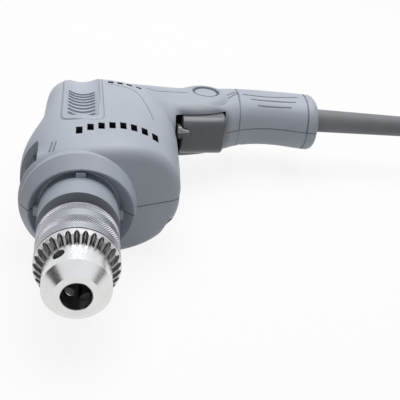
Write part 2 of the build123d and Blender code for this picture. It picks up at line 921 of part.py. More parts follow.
# Spindle, from its chuck thread to the journal in the rear bush
thread_front_y = chuck_rear_y - spindle_thread_length
spindle_rear_y = bracket_rear_y - hammer_stroke
with BuildPart() as spindle:
    add(
        turned(
            [
                (0, thread_front_y),
                (spindle_thread_radius, thread_front_y),
                (spindle_thread_radius, chuck_rear_y),
                (spindle_shoulder_radius, chuck_rear_y),
                (spindle_shoulder_radius, front_bearing_y),
                (spindle_radius, front_bearing_y),
                (spindle_radius, ratchet_tip_y),
                (spindle_journal_radius, ratchet_tip_y),
                (spindle_journal_radius, spindle_rear_y),
                (0, spindle_rear_y),
            ]
        )
    )
    # Threaded hole for the chuck screw, and two flats for a spanner
    screw_hole_y = thread_front_y + chuck_screw_length
    add(drum(chuck_screw_radius + fit_gap, thread_front_y, screw_hole_y), mode=Mode.SUBTRACT)
    for side in (1, -1):
        flat_z = sorted((side * spindle_flat, side * far))
        add(block((-far, far), (chuck_rear_y + 1, collar_front_y - 1), flat_z), mode=Mode.SUBTRACT)
spindle.part.label = "spindle"
export_step(spindle.part, "parts/spindle.step")

# Gear pair
module = 2 * motor_x / (gear_teeth + pinion_teeth)


def toothed_outline(teeth, addendum, dedendum, tip_width, root_width, phase):
    """Points of a gear outline with straight flanks, every size in modules."""
    points = []
    for index in range(teeth):
        middle = phase + 2 * math.pi * index / teeth
        root_radius = module * (teeth / 2 - dedendum)
        tip_radius = module * (teeth / 2 + addendum)
        for radius, width in (
            (root_radius, -root_width),
            (tip_radius, -tip_width),
            (tip_radius, tip_width),
            (root_radius, root_width),
        ):
            angle = middle + module * width / 2 / radius
            points.append((radius * math.cos(angle), radius * math.sin(angle)))
    return points


with BuildPart() as spindle_gear:
    with BuildSketch(Plane.XZ.offset(-gear_y)):
        with BuildLine():
            outline = toothed_outline(
                gear_teeth,
                gear_addendum,
                gear_dedendum,
                gear_tooth_tip,
                gear_tooth_root,
                math.pi / gear_teeth,
            )
            Polyline(*outline, close=True)
        make_face()
        Circle(spindle_radius + fit_gap, mode=Mode.SUBTRACT)
    extrude(amount=gear_width, dir=(0, 1, 0))
spindle_gear.part.label = "spindle_gear"
export_step(spindle_gear.part, "parts/spindle_gear.step")


def face_notches(face_y, apex_y):
    """Wedges that cut the ratchet teeth into a face at face_y, down to apex_y."""
    notch_width = 2 * math.pi * ratchet_radius / ratchet_teeth * 0.8
    with BuildPart() as notches:
        for index in range(ratchet_teeth):
            turn = 2 * math.pi * index / ratchet_teeth
            outward = (math.cos(turn), 0, math.sin(turn))
            with BuildSketch(Plane(origin=(0, 0, 0), x_dir=(0, 1, 0), z_dir=outward)):
                with BuildLine():
                    Polyline(
                        (face_y, -notch_width / 2), (face_y, notch_width / 2), (apex_y, 0), close=True
                    )
                make_face()
            extrude(amount=2 * ratchet_radius)
    return notches.part


with BuildPart() as rotating_ratchet:
    add(drum(ratchet_radius, ratchet_y, ratchet_tip_y, hole=spindle_radius + fit_gap))
    add(face_notches(ratchet_tip_y, ratchet_tip_y - ratchet_tooth), mode=Mode.SUBTRACT)
rotating_ratchet.part.label = "rotating_ratchet"
export_step(rotating_ratchet.part, "parts/rotating_ratchet.step")

bush_radius = spindle_journal_radius + running_clearance + bush_wall
with BuildPart() as fixed_ratchet:
    add(drum(ratchet_radius, fixed_tip_y, bracket_y, hole=bush_radius + seat_clearance))
    add(face_notches(fixed_tip_y, fixed_tip_y + ratchet_tooth), mode=Mode.SUBTRACT)
fixed_ratchet.part.label = "fixed_ratchet"
export_step(fixed_ratchet.part, "parts/fixed_ratchet.step")

with BuildPart() as spindle_bush:
    bush_bore = spindle_journal_radius + running_clearance
    add(drum(bush_radius, bracket_y - bush_overhang, bracket_rear_y, hole=bush_bore))
spindle_bush.part.label = "spindle_bush"
export_step(spindle_bush.part, "parts/spindle_bush.step")

with BuildPart() as bearing_bracket:
    add(slab(bracket_outline(0), bracket_y, bracket_rear_y))
    add(drum(bush_radius + fit_gap, bracket_y, bracket_rear_y), mode=Mode.SUBTRACT)
    add(drum(motor_bearing_radius + fit_gap, bracket_y, bracket_rear_y, motor_x), mode=Mode.SUBTRACT)
bearing_bracket.part.label = "bearing_bracket"
export_step(bearing_bracket.part, "parts/bearing_bracket.step")

# Motor: the armature shaft with its pinion turns in two bearings
pinion_rear_y = gear_y + gear_width + hammer_stroke + seat_clearance
shaft_rear_y = rear_bearing_rear_y + 1
with BuildPart() as armature_shaft:
    with BuildSketch(Plane.XZ.offset(-gear_y)):
        with BuildLine():
            outline = toothed_outline(
                pinion_teeth, pinion_addendum, pinion_dedendum, pinion_tooth_tip, pinion_tooth_root, math.pi
            )
            Polyline(*[(motor_x + x, z) for x, z in outline], close=True)
        make_face()
    extrude(amount=pinion_rear_y - gear_y, dir=(0, 1, 0))
    add(drum(shaft_radius, pinion_rear_y, shaft_rear_y, motor_x))
armature_shaft.part.label = "armature_shaft"
export_step(armature_shaft.part, "parts/armature_shaft.step")

inner_ring_radius = shaft_radius + bearing_ring_wall * 0.8
for name, start_y in (("front", bracket_y), ("rear", rear_bearing_y)):
    width = bracket_thickness if name == "front" else motor_bearing_width
    with BuildPart() as bearing_outer:
        add(
            drum(
                motor_bearing_radius,
                start_y,
                start_y + width,
                motor_x,
                hole=inner_ring_radius + 2 * running_clearance,
            )
        )
    bearing_outer.part.label = f"motor_bearing_{name}_outer"
    export_step(bearing_outer.part, f"parts/motor_bearing_{name}_outer.step")
    with BuildPart() as bearing_inner:
        add(drum(inner_ring_radius, start_y, start_y + width, motor_x, hole=shaft_radius + fit_gap))
    bearing_inner.part.label = f"motor_bearing_{name}_inner"
    export_step(bearing_inner.part, f"parts/motor_bearing_{name}_inner.step")

with BuildPart() as bearing_sleeve:
    sleeve_bore = motor_bearing_radius + fit_gap
    add(drum(sleeve_seat_radius, rear_bearing_y, rear_bearing_rear_y, motor_x, hole=sleeve_bore))
bearing_sleeve.part.label = "bearing_sleeve"
export_step(bearing_sleeve.part, "parts/bearing_sleeve.step")

with BuildPart() as fan:
    add(drum(fan_hub_radius, fan_y, fan_y + fan_width, motor_x))
    add(drum(fan_radius, fan_y, fan_y + fan_disc, motor_x))
    for index in range(fan_blades):
        turn = 360 / fan_blades * index
        with BuildSketch(Plane.XZ.offset(-fan_y)):
            with Locations(Location((motor_x, 0), turn)):
                with Locations(((fan_hub_radius + fan_radius - 1) / 2, 0)):
                    Rectangle(fan_radius - 1 - fan_hub_radius + 1, fan_disc)
        extrude(amount=fan_width, dir=(0, 1, 0))
    add(drum(shaft_radius + fit_gap, fan_y, fan_y + fan_width, motor_x), mode=Mode.SUBTRACT)
fan.part.label = "fan"
export_step(fan.part, "parts/fan.step")

with BuildPart() as fan_baffle:
    add(drum(baffle_radius, baffle_y, baffle_rear_y, motor_x, hole=baffle_hole_radius))
fan_baffle.part.label = "fan_baffle"
export_step(fan_baffle.part, "parts/fan_baffle.step")


def ring_sector(inner_radius, outer_radius, start_angle, end_angle):
    """A sector of a ring around the motor line, drawn on the XZ plane."""
    with BuildSketch(Plane.XZ) as sector:
        with BuildLine():
            corners = [
                (math.cos(math.radians(angle)), math.sin(math.radians(angle)))
                for angle in (start_angle, (start_angle + end_angle) / 2, end_angle)
            ]
            outer = [(motor_x + outer_radius * u, outer_radius * v) for u, v in corners]
            inner = [(motor_x + inner_radius * u, inner_radius * v) for u, v in corners]
            ThreePointArc(*outer)
            Line(outer[2], inner[2])
            ThreePointArc(*inner)
            Line(inner[0], outer[0])
        make_face()
    return sector.sketch


# Field: laminated core, with four slots that two coils pass through
coil_bar_high = coil_bar_angle + coil_bar_spread
with BuildPart() as field_core:
    with BuildSketch(Plane.XZ.offset(-field_y)):
        with Locations((motor_x, 0)):
            Circle(field_radius)
            Rectangle(2 * field_flat, 4 * field_radius, mode=Mode.INTERSECT)
            Circle(field_bore, mode=Mode.SUBTRACT)
    extrude(amount=field_length, dir=(0, 1, 0))
    slot_margin = math.degrees(seat_clearance / coil_inner_radius)
    for middle in (coil_bar_angle, 180 - coil_bar_angle, 180 + coil_bar_angle, 360 - coil_bar_angle):
        slot = ring_sector(
            coil_inner_radius - seat_clearance,
            coil_outer_radius + seat_clearance,
            middle - coil_bar_spread - slot_margin,
            middle + coil_bar_spread + slot_margin,
        )
        add(slab(slot, field_y, field_rear_y), mode=Mode.SUBTRACT)
field_core.part.label = "field_core"
export_step(field_core.part, "parts/field_core.step")

with BuildPart() as field_coils:
    for pole in (0, 180):
        for middle in (pole - coil_bar_angle, pole + coil_bar_angle):
            bar = ring_sector(
                coil_inner_radius, coil_outer_radius, middle - coil_bar_spread, middle + coil_bar_spread
            )
            add(slab(bar, field_y - coil_overhang, field_rear_y + coil_overhang))
        turn_angles = (pole - coil_bar_high, pole + coil_bar_high)
        turn_arc = ring_sector(coil_inner_radius, coil_outer_radius, *turn_angles)
        for end_y in (field_y - coil_overhang, field_rear_y + seat_clearance):
            add(slab(turn_arc, end_y, end_y + coil_overhang - seat_clearance))
field_coils.part.label = "field_coils"
export_step(field_coils.part, "parts/field_coils.step")

# Armature: slotted core, windings that fill the slots, and the commutator
with BuildPart() as armature_core:
    with BuildSketch(Plane.XZ.offset(-field_y)):
        with Locations((motor_x, 0)):
            Circle(armature_radius)
            Circle(shaft_radius + fit_gap, mode=Mode.SUBTRACT)
            with PolarLocations(armature_radius, armature_slots):
                Rectangle(2 * armature_slot_depth, armature_slot_width, mode=Mode.SUBTRACT)
    extrude(amount=field_length, dir=(0, 1, 0))
armature_core.part.label = "armature_core"
export_step(armature_core.part, "parts/armature_core.step")

winding_radius = armature_radius - winding_inset
with BuildPart() as armature_windings:
    for end_y in (winding_front_y, field_rear_y + seat_clearance):
        add(
            drum(
                winding_radius,
                end_y,
                end_y + winding_overhang - seat_clearance,
                motor_x,
                hole=shaft_radius + seat_clearance,
            )
        )
    with BuildSketch(Plane.XZ.offset(-winding_front_y)):
        with Locations((motor_x, 0)):
            with PolarLocations(winding_radius - armature_slot_depth / 2 + winding_inset / 2, armature_slots):
                Rectangle(
                    armature_slot_depth - winding_inset - 2 * seat_clearance,
                    armature_slot_width - 2 * seat_clearance,
                )
    extrude(amount=winding_rear_y - winding_front_y, dir=(0, 1, 0))
armature_windings.part.label = "armature_windings"
export_step(armature_windings.part, "parts/armature_windings.step")

with BuildPart() as commutator:
    with BuildSketch(Plane.XZ.offset(-commutator_y)):
        with Locations((motor_x, 0)):
            Circle(commutator_radius)
            Circle(shaft_radius + fit_gap, mode=Mode.SUBTRACT)
            with PolarLocations(commutator_radius, commutator_bars):
                Rectangle(commutator_slot_depth * 2, commutator_slot_width, mode=Mode.SUBTRACT)
    extrude(amount=commutator_length, dir=(0, 1, 0))
commutator.part.label = "commutator"
export_step(commutator.part, "parts/commutator.step")

# Brush gear on both sides of the commutator
brush_face = commutator_radius + running_clearance
brush_end_z = brush_face + brush_length
with BuildPart() as carbon_brushes:
    for side in (1, -1):
        add(
            block(
                grown((motor_x, motor_x), brush_width / 2),
                grown((brush_y, brush_y), brush_thickness / 2),
                sorted((0, side * brush_end_z)),
            )
        )
    add(drum(brush_face, brush_y - brush_thickness, brush_y + brush_thickness, motor_x), mode=Mode.SUBTRACT)
carbon_brushes.part.label = "carbon_brushes"
export_step(carbon_brushes.part, "parts/carbon_brushes.step")

with BuildPart() as brush_holders:
    for side in (1, -1):
        add(
            block(
                grown((motor_x, motor_x), holder_half_x),
                grown((brush_y, brush_y), holder_half_y),
                sorted((side * holder_inner_z, side * (holder_outer_z - seat_clearance))),
            )
        )
    channel_z = holder_outer_z - seat_clearance - holder_wall
    add(
        block(
            grown((motor_x, motor_x), brush_width / 2 + seat_clearance),
            grown((brush_y, brush_y), brush_thickness / 2 + seat_clearance),
            (-channel_z, channel_z),
        ),
        mode=Mode.SUBTRACT,
    )
brush_holders.part.label = "brush_holders"
export_step(brush_holders.part, "parts/brush_holders.step")

with BuildPart() as brush_springs:
    spring_length = channel_z - brush_end_z - brush_spring_wire - 2 * seat_clearance
    for side in (1, -1):
        spring_z = side * (brush_end_z + brush_spring_wire / 2 + seat_clearance)
        with BuildLine(mode=Mode.PRIVATE):
            spring_line = Helix(
                pitch=spring_length / brush_spring_turns,
                height=spring_length,
                radius=brush_width / 2 - brush_spring_wire / 2,
                center=(motor_x, brush_y, spring_z),
                direction=(0, 0, side),
            )
        with BuildSketch(Plane(origin=spring_line @ 0, z_dir=spring_line % 0)):
            Circle(brush_spring_wire / 2)
        sweep(path=spring_line, is_frenet=True)
brush_springs.part.label = "brush_springs"
export_step(brush_springs.part, "parts/brush_springs.step")

# Key chuck: a turned body with three sloping jaw bores
bore_bottom_y = thread_front_y - chuck_web
jaw_slope = math.radians(jaw_angle)
jaw_angles = [jaw_first_angle + 360 / jaw_count * index for index in range(jaw_count)]


def around(angle):
    """The direction away from the spindle axis at an angle in degrees."""
    return Vector(math.cos(math.radians(angle)), 0, math.sin(math.radians(angle)))


def jaw_plane(angle):
    """The plane across a jaw's line where the jaw starts, with its normal along the line to the rear."""
    outward = around(angle)
    start = outward * jaw_front_axis_radius + Vector(0, jaw_front_y, 0)
    line = outward * math.sin(jaw_slope) + Vector(0, math.cos(jaw_slope), 0)
    return Plane(origin=start, x_dir=outward.cross(Vector(0, 1, 0)), z_dir=line)


with BuildPart() as chuck_body:
    add(
        turned(
            [
                (0, nose_y),
                (nose_face_radius, nose_y),
                (nose_cone_radius, nose_y + nose_cone_length),
                (chuck_radius, nose_y + nose_cone_length + chuck_radius - nose_cone_radius),
                (chuck_radius, nut_y - nut_seat_gap),
                (nut_neck_radius, nut_y - nut_seat_gap),
                (nut_neck_radius, nut_y + nut_width + nut_seat_gap),
                (chuck_radius, nut_y + nut_width + nut_seat_gap),
                (chuck_radius, chuck_flange_y),
                (chuck_flange_radius, chuck_flange_y),
                (chuck_flange_radius, chuck_rear_y),
                (0, chuck_rear_y),
            ]
        )
    )
    add(drum(chuck_bore_radius, nose_y, bore_bottom_y), mode=Mode.SUBTRACT)
    add(drum(chuck_screw_radius + fit_gap, bore_bottom_y, thread_front_y), mode=Mode.SUBTRACT)
    add(drum(spindle_thread_radius + fit_gap, thread_front_y, chuck_rear_y), mode=Mode.SUBTRACT)
    for angle in jaw_angles:
        with BuildSketch(jaw_plane(angle)):
            Circle(jaw_radius + jaw_clearance)
        extrude(amount=jaw_length + jaw_clearance, mode=Mode.SUBTRACT)
        with BuildSketch(jaw_plane(angle)):
            Circle(jaw_radius + jaw_clearance)
        extrude(amount=-jaw_travel, mode=Mode.SUBTRACT)
        # Key hole, half way between two jaws
        with BuildSketch(Plane(origin=(0, key_hole_y, 0), z_dir=around(angle + 180 / jaw_count))):
            Circle(key_hole_radius)
        extrude(amount=2 * chuck_radius, mode=Mode.SUBTRACT)
chuck_body.part.label = "chuck_body"
export_step(chuck_body.part, "parts/chuck_body.step")

with BuildPart() as chuck_screw:
    add(drum(chuck_screw_head_radius, bore_bottom_y - chuck_screw_head_height, bore_bottom_y))
    add(drum(chuck_screw_radius, bore_bottom_y, thread_front_y + chuck_screw_length - seat_clearance))
    add(
        block(
            grown((0, 0), chuck_screw_head_radius),
            (bore_bottom_y - chuck_screw_head_height, bore_bottom_y - chuck_screw_head_height / 2),
            grown((0, 0), chuck_screw_head_radius / 6),
        ),
        mode=Mode.SUBTRACT,
    )
chuck_screw.part.label = "chuck_screw"
export_step(chuck_screw.part, "parts/chuck_screw.step")

# Bevel teeth for the chuck key: V grooves that deepen outwards
ring_bore = chuck_radius + running_clearance
face_run = Vector(sleeve_radius - ring_bore, ring_face_outer_y - ring_face_inner_y)
face_normal = Vector(face_run.Y, -face_run.X).normalized()
root_inner = Vector(ring_bore, ring_face_inner_y) - face_normal * ring_tooth_inner_depth
root_outer = Vector(sleeve_radius, ring_face_outer_y) - face_normal * ring_tooth_depth
root_run = root_outer - root_inner
groove_height = 3 * ring_tooth_depth
groove_half_width = groove_height * math.tan(math.radians(ring_tooth_angle))
with BuildPart() as chuck_gear_ring:
    add(
        turned(
            [
                (ring_bore, ring_face_inner_y),
                (sleeve_radius, ring_face_outer_y),
                (sleeve_radius, ring_rear_y),
                (nut_radius + running_clearance, ring_rear_y),
                (nut_radius + running_clearance, nut_y),
                (ring_bore, nut_y),
            ]
        )
    )
    for index in range(ring_teeth):
        outward = around(jaw_first_angle + 360 / ring_teeth * (index + 0.5))
        root = outward * root_inner.X + Vector(0, root_inner.Y, 0)
        line = outward * root_run.X + Vector(0, root_run.Y, 0)
        across = Vector(0, 1, 0).cross(outward)
        groove_plane = Plane(origin=root - line, x_dir=-across, z_dir=line)
        with BuildSketch(groove_plane):
            with BuildLine():
                Polyline(
                    (0, 0),
                    (groove_half_width, groove_height),
                    (-groove_half_width, groove_height),
                    close=True,
                )
            make_face()
        extrude(amount=3 * root_run.length, mode=Mode.SUBTRACT)
chuck_gear_ring.part.label = "chuck_gear_ring"
export_step(chuck_gear_ring.part, "parts/chuck_gear_ring.step")

knurl_radius = sleeve_radius - knurl_relief
knurl_rear_y = knurl_front_y + knurl_band_length
second_knurl_y = knurl_rear_y + knurl_gap
second_knurl_rear_y = second_knurl_y + knurl_band_length
sleeve_inner = nut_radius + running_clearance
sleeve_wide_inner = chuck_flange_radius + sleeve_flange_gap
with BuildPart() as chuck_sleeve:
    add(
        turned(
            [
                (sleeve_inner, ring_rear_y),
                (sleeve_radius, ring_rear_y),
                (sleeve_radius, knurl_front_y),
                (knurl_radius, knurl_front_y),
                (knurl_radius, knurl_rear_y),
                (sleeve_groove_radius, knurl_rear_y),
                (sleeve_groove_radius, second_knurl_y),
                (knurl_radius, second_knurl_y),
                (knurl_radius, second_knurl_rear_y),
                (sleeve_radius, second_knurl_rear_y),
                (sleeve_radius, sleeve_rear_y),
                (sleeve_wide_inner, sleeve_rear_y),
                (sleeve_wide_inner, sleeve_wide_y),
                (sleeve_inner, sleeve_wide_y),
            ]
        )
    )
chuck_sleeve.part.label = "chuck_sleeve"
export_step(chuck_sleeve.part, "parts/chuck_sleeve.step")

# The nut turns with the sleeve and drives the jaws along their bores
jaw_reach = jaw_front_axis_radius + jaw_radius / math.cos(jaw_slope) + nut_jaw_gap
nut_rear_y = nut_y + nut_width
with BuildPart() as chuck_nut:
    add(
        turned(
            [
                (nut_radius, nut_y),
                (nut_radius, nut_rear_y),
                (jaw_reach + (nut_rear_y - jaw_front_y) * math.tan(jaw_slope), nut_rear_y),
                (jaw_reach + (nut_y - jaw_front_y) * math.tan(jaw_slope), nut_y),
            ]
        )
    )
chuck_nut.part.label = "chuck_nut"
export_step(chuck_nut.part, "parts/chuck_nut.step")

jaw_apex = jaw_travel * math.sin(jaw_slope) + jaw_clearance
for index, angle in enumerate(jaw_angles):
    outward = around(angle)
    with BuildPart() as chuck_jaw:
        with BuildSketch(jaw_plane(angle)):
            Circle(jaw_radius)
        extrude(amount=jaw_length, both=True)
        # The grip face, and two flanks that let the three jaws close on each other
        with BuildSketch(Plane(origin=(0, jaw_front_y, 0), x_dir=outward, z_dir=(0, 1, 0))):
            with BuildLine():
                flank = (sleeve_radius - jaw_apex) * math.tan(math.radians(180 / jaw_count))
                grip = (jaw_grip_radius - jaw_apex) * math.tan(math.radians(180 / jaw_count))
                Polyline(
                    (jaw_grip_radius, -grip),
                    (sleeve_radius, -flank),
                    (sleeve_radius, flank),
                    (jaw_grip_radius, grip),
                    close=True,
                )
            make_face()
        extrude(amount=jaw_length, mode=Mode.INTERSECT)
    chuck_jaw.part.label = f"chuck_jaw_{index + 1}"
    export_step(chuck_jaw.part, f"parts/chuck_jaw_{index + 1}.step")

# Trigger, switch, reversing lever and lock button
with BuildPart() as trigger:
    with BuildSketch(Plane.XY.offset(-trigger_half_width)):
        with BuildLine():
            Polyline(
                (trigger_top_x, trigger_front_y),
                (trigger_bottom_x, trigger_front_y + trigger_slope),
                (trigger_bottom_x, trigger_rear_y),
                (trigger_top_x, trigger_rear_y),
                close=True,
            )
        make_face()
    extrude(amount=2 * trigger_half_width)
    front_edges = trigger.faces().sort_by(Axis.Y)[0].edges().filter_by(lambda e: abs(e.center().Z) > 1)
    chamfer(front_edges, trigger_bevel)
    add(drum(stem_radius, trigger_rear_y, trigger_rear_y + stem_length, stem_x))
trigger.part.label = "trigger"
export_step(trigger.part, "parts/trigger.step")

lever_plate_x = switch_x[0] - lever_lift - lever_thickness
with BuildPart() as switch:
    add(block(switch_x, (switch_y, switch_rear_y), grown((0, 0), switch_half_width)))
    stem_end_y = trigger_rear_y + stem_length + trigger_travel + control_clearance
    add(drum(stem_radius + control_clearance, switch_y, stem_end_y, stem_x), mode=Mode.SUBTRACT)
    # Pivot of the reversing lever, on a washer face
    with BuildSketch(Plane.YZ.offset(switch_x[0])):
        with Locations((lever_pivot_y, 0)):
            Circle(lever_pivot_radius)
    extrude(amount=-switch_pin_length)
    with BuildSketch(Plane.YZ.offset(switch_x[0])):
        with Locations((lever_pivot_y, 0)):
            Circle(lever_hub_radius)
    extrude(amount=control_clearance - lever_lift)
switch.part.label = "switch"
export_step(switch.part, "parts/switch.step")

with BuildPart() as reversing_lever:
    # Swung so that the tip is on the left side
    swing = math.radians(lever_swing)
    arm_length = lever_pivot_y - lever_tip_y
    arm_plane = Plane(
        origin=(lever_plate_x, lever_pivot_y, 0),
        x_dir=(0, math.cos(swing), -math.sin(swing)),
        z_dir=(1, 0, 0),
    )
    with BuildSketch(arm_plane):
        Circle(lever_hub_radius)
        with Locations((-arm_length / 2, 0)):
            Rectangle(arm_length, lever_arm_width)
        with Locations((lever_tip_length / 2 - arm_length, 0)):
            Rectangle(lever_tip_length, lever_tip_width)
        Circle(lever_pivot_radius + running_clearance, mode=Mode.SUBTRACT)
    extrude(amount=lever_thickness)
    with BuildSketch(arm_plane):
        with Locations((lever_tip_length / 2 - arm_length, 0)):
            Rectangle(lever_tip_length, lever_tip_width)
    extrude(amount=lever_tip_drop, taper=lever_tip_taper)
reversing_lever.part.label = "reversing_lever"
export_step(reversing_lever.part, "parts/reversing_lever.step")

with BuildPart() as lock_button:
    flange_top_z = lock_boss_bottom_z - control_clearance
    with BuildSketch(Plane.XY.offset(flange_top_z - lock_flange)):
        with Locations((lock_x, lock_y)):
            Circle(lock_radius + lock_flange)
    extrude(amount=lock_flange)
    with BuildSketch(Plane.XY.offset(flange_top_z)):
        with Locations((lock_x, lock_y)):
            Circle(lock_radius)
    extrude(amount=lock_top_z - flange_top_z)
    fillet(lock_button.edges().sort_by(Axis.Z)[-1], lock_boss_edge)
lock_button.part.label = "lock_button"
export_step(lock_button.part, "parts/lock_button.step")

# Mode selector: a slider in the slot on top of the tool, with a pin held by a clip
mode_z = mode_travel / 2
mode_base_x = mode_slot_floor_x - control_clearance
mode_plate_x = mode_base_x - mode_plate_thickness
with BuildPart() as mode_lever:
    plate_y = grown((mode_slot_front_y, mode_slot_rear_y), -control_clearance)
    add(block((mode_plate_x, mode_base_x), plate_y, grown((mode_z, mode_z), mode_plate_half_width)))
    thumb_y = grown((mode_y, mode_y), mode_thumb_length / 2)
    thumb_z = grown((mode_z, mode_z), mode_lever_width / 2)
    add(block((mode_thumb_top_x, mode_plate_x), thumb_y, thumb_z))
    # Grip grooves across the thumb piece
    with BuildSketch(Plane.YZ.offset(mode_thumb_top_x)):
        with Locations((mode_y, mode_z)):
            with GridLocations(0, mode_lever_width / mode_ridge_count, 1, mode_ridge_count):
                Rectangle(mode_thumb_length, mode_ridge_depth * 1.5)
    extrude(amount=mode_ridge_depth, mode=Mode.SUBTRACT)
    with BuildSketch(Plane.YZ.offset(mode_base_x)):
        with Locations((mode_y, mode_z)):
            Circle(mode_pin_radius + fit_gap)
    extrude(amount=-mode_plate_thickness, mode=Mode.SUBTRACT)
mode_lever.part.label = "mode_lever"
export_step(mode_lever.part, "parts/mode_lever.step")

mode_clip_x = mode_slot_floor_x + mode_slot_wall + control_clearance
with BuildPart() as mode_pin:
    with BuildSketch(Plane.YZ.offset(mode_plate_x)):
        with Locations((mode_y, mode_z)):
            Circle(mode_pin_radius)
    extrude(amount=mode_clip_x + 1.5 * mode_clip_thickness - mode_plate_x)
mode_pin.part.label = "mode_pin"
export_step(mode_pin.part, "parts/mode_pin.step")

with BuildPart() as mode_clip:
    with BuildSketch(Plane.YZ.offset(mode_clip_x)):
        with Locations((mode_y, mode_z)):
            Circle(mode_clip_radius)
            Circle(mode_pin_radius + fit_gap, mode=Mode.SUBTRACT)
    extrude(amount=mode_clip_thickness)
mode_clip.part.label = "mode_clip"
export_step(mode_clip.part, "parts/mode_clip.step")

with BuildPart() as capacitor:
    add(block(capacitor_x, capacitor_y, grown((0, 0), capacitor_half_width)))
capacitor.part.label = "capacitor"
export_step(capacitor.part, "parts/capacitor.step")

# Cord guard, and the cord inside it with its clamp
def turned_on_cord(profile):
    """A turned piece: (x, radius) points revolved about the line of the cord in the handle."""
    with BuildPart() as piece:
        with BuildSketch(Plane.XY):
            with BuildLine():
                Polyline(*[(x, cord_y + radius) for x, radius in profile], close=True)
            make_face()
        revolve(axis=Axis((0, cord_y, 0), (1, 0, 0)))
    return piece.part


guard_bore = cord_radius + fit_gap
guard_inner_x = handle_end_x - 2 * wall - seat_clearance
with BuildPart() as cord_guard:
    add(
        turned_on_cord(
            [
                (guard_inner_x - guard_flange_width, guard_bore),
                (guard_inner_x - guard_flange_width, guard_flange_radius),
                (guard_inner_x, guard_flange_radius),
                (guard_inner_x, guard_neck_radius),
                (handle_end_x, guard_neck_radius),
                (handle_end_x, guard_radius),
                (guard_tip_x, guard_tip_radius),
                (guard_tip_x, guard_bore),
            ]
        )
    )
cord_guard.part.label = "cord_guard"
export_step(cord_guard.part, "parts/cord_guard.step")

with BuildPart() as cord_inner:
    with BuildSketch(Plane.YZ.offset(cord_inner_x)):
        with Locations((cord_y, 0)):
            Circle(cord_radius)
    extrude(amount=guard_tip_x - cord_inner_x)
cord_inner.part.label = "cord_inner"
export_step(cord_inner.part, "parts/cord_inner.step")

clamp_top_z = clamp_z + clamp_thickness
with BuildPart() as cord_clamp:
    clamp_length = grown((cord_y, cord_y), clamp_screw_reach + clamp_end_margin)
    add(block(grown((clamp_x, clamp_x), clamp_half_width), clamp_length, (clamp_z, clamp_top_z)))
    with BuildSketch(Plane.XY.offset(clamp_z)):
        with Locations(*clamp_screw_places):
            Circle(clamp_screw_radius + fit_gap)
    extrude(amount=clamp_thickness, mode=Mode.SUBTRACT)
cord_clamp.part.label = "cord_clamp"
export_step(cord_clamp.part, "parts/cord_clamp.step")

with BuildPart() as cord_clamp_screws:
    with BuildSketch(Plane.XY.offset(clamp_top_z)):
        with Locations(*clamp_screw_places):
            Circle(clamp_head_radius)
    extrude(amount=clamp_head_height)
    with BuildSketch(Plane.XY.offset(clamp_top_z)):
        with Locations(*clamp_screw_places):
            Circle(clamp_screw_radius)
    extrude(amount=seat_clearance - clamp_thickness - clamp_screw_length)
    with BuildSketch(Plane.XY.offset(clamp_top_z + clamp_head_height)):
        with Locations(*clamp_screw_places):
            Rectangle(clamp_head_radius * 1.2, clamp_head_radius * 0.3)
            Rectangle(clamp_head_radius * 0.3, clamp_head_radius * 1.2)
    extrude(amount=-clamp_head_height / 2, mode=Mode.SUBTRACT)
cord_clamp_screws.part.label = "cord_clamp_screws"
export_step(cord_clamp_screws.part, "parts/cord_clamp_screws.step")


def corner_radii(points):
    """The radius of each corner of a cord's route, as large as its two runs allow."""
    radii = []
    for before, corner, after in zip(points, points[1:], points[2:]):
        run_in = corner - before
        run_out = after - corner
        half_turn = math.radians(run_in.get_angle(run_out)) / 2
        radii.append(0.45 * min(run_in.length, run_out.length) / math.tan(half_turn))
    return radii


# Free cord, from the guard's tip down to the floor
cord_floor_z = floor_z + tie_thickness + tie_gap + cord_radius
cord_run = cord_floor_z / sum(math.sin(math.radians(slope)) for slope in cord_slopes)
cord_points = [Vector(guard_tip_x, cord_y, 0)]
for slope in cord_slopes:
    angle = math.radians(slope)
    cord_points.append(cord_points[-1] + Vector(math.cos(angle), 0, math.sin(angle)) * cord_run)
cord_radii = corner_radii(cord_points)
print("power_cord radii", [round(radius, 1) for radius in cord_radii])
with BuildPart() as power_cord:
    with BuildLine():
        cord_path = FilletPolyline(*cord_points, radius=cord_radii)
    with BuildSketch(Plane.YZ.offset(guard_tip_x)):
        with Locations((cord_y, 0)):
            Circle(cord_radius)
    sweep(path=cord_path)
power_cord.part.label = "power_cord"
export_step(power_cord.part, "parts/power_cord.step")

# The rest of the cord is coiled on the floor, in two layers
coil_x = cord_points[-1].X + 2 * cord_radius
with BuildPart() as cord_coil:
    with BuildLine() as coil_path:
        place = Vector(coil_x, cord_y, cord_floor_z)
        far_turns = []
        Line(cord_points[-1], place)
        radius = coil_first_radius
        for index in range(coil_inward_half_turns + 1 + coil_outward_half_turns):
            side = 1 if index % 2 == 0 else -1
            climbs = index == coil_inward_half_turns
            rise = coil_layer_step if climbs else 0
            end = place + Vector(0, -2 * side * radius, rise)
            tangent = Vector(side, 0, 0)
            if climbs:
                # Two quarter turns, each in a plane of its own
                chord = end - place
                middle = (place + end) / 2 + tangent * (chord.length / 2)
                TangentArc(place, middle, tangent=tangent)
                TangentArc(middle, end, tangent=chord)
            else:
                centre = (place + end) / 2
                ThreePointArc(place, centre + tangent * radius, end)
                if side > 0:
                    far_turns.append((radius, centre))
            place = end
            radius += coil_radius_step if index >= coil_inward_half_turns else -coil_radius_step
        coil_end = place + Vector(2 * cord_radius, 0, 0)
        Line(place, coil_end)
    coil_wire = coil_path.wire()
    with BuildSketch(Plane(origin=cord_points[-1], z_dir=(1, 0, 0))):
        Circle(cord_radius)
    sweep(path=coil_wire)
cord_coil.part.label = "cord_coil"
export_step(cord_coil.part, "parts/cord_coil.step")

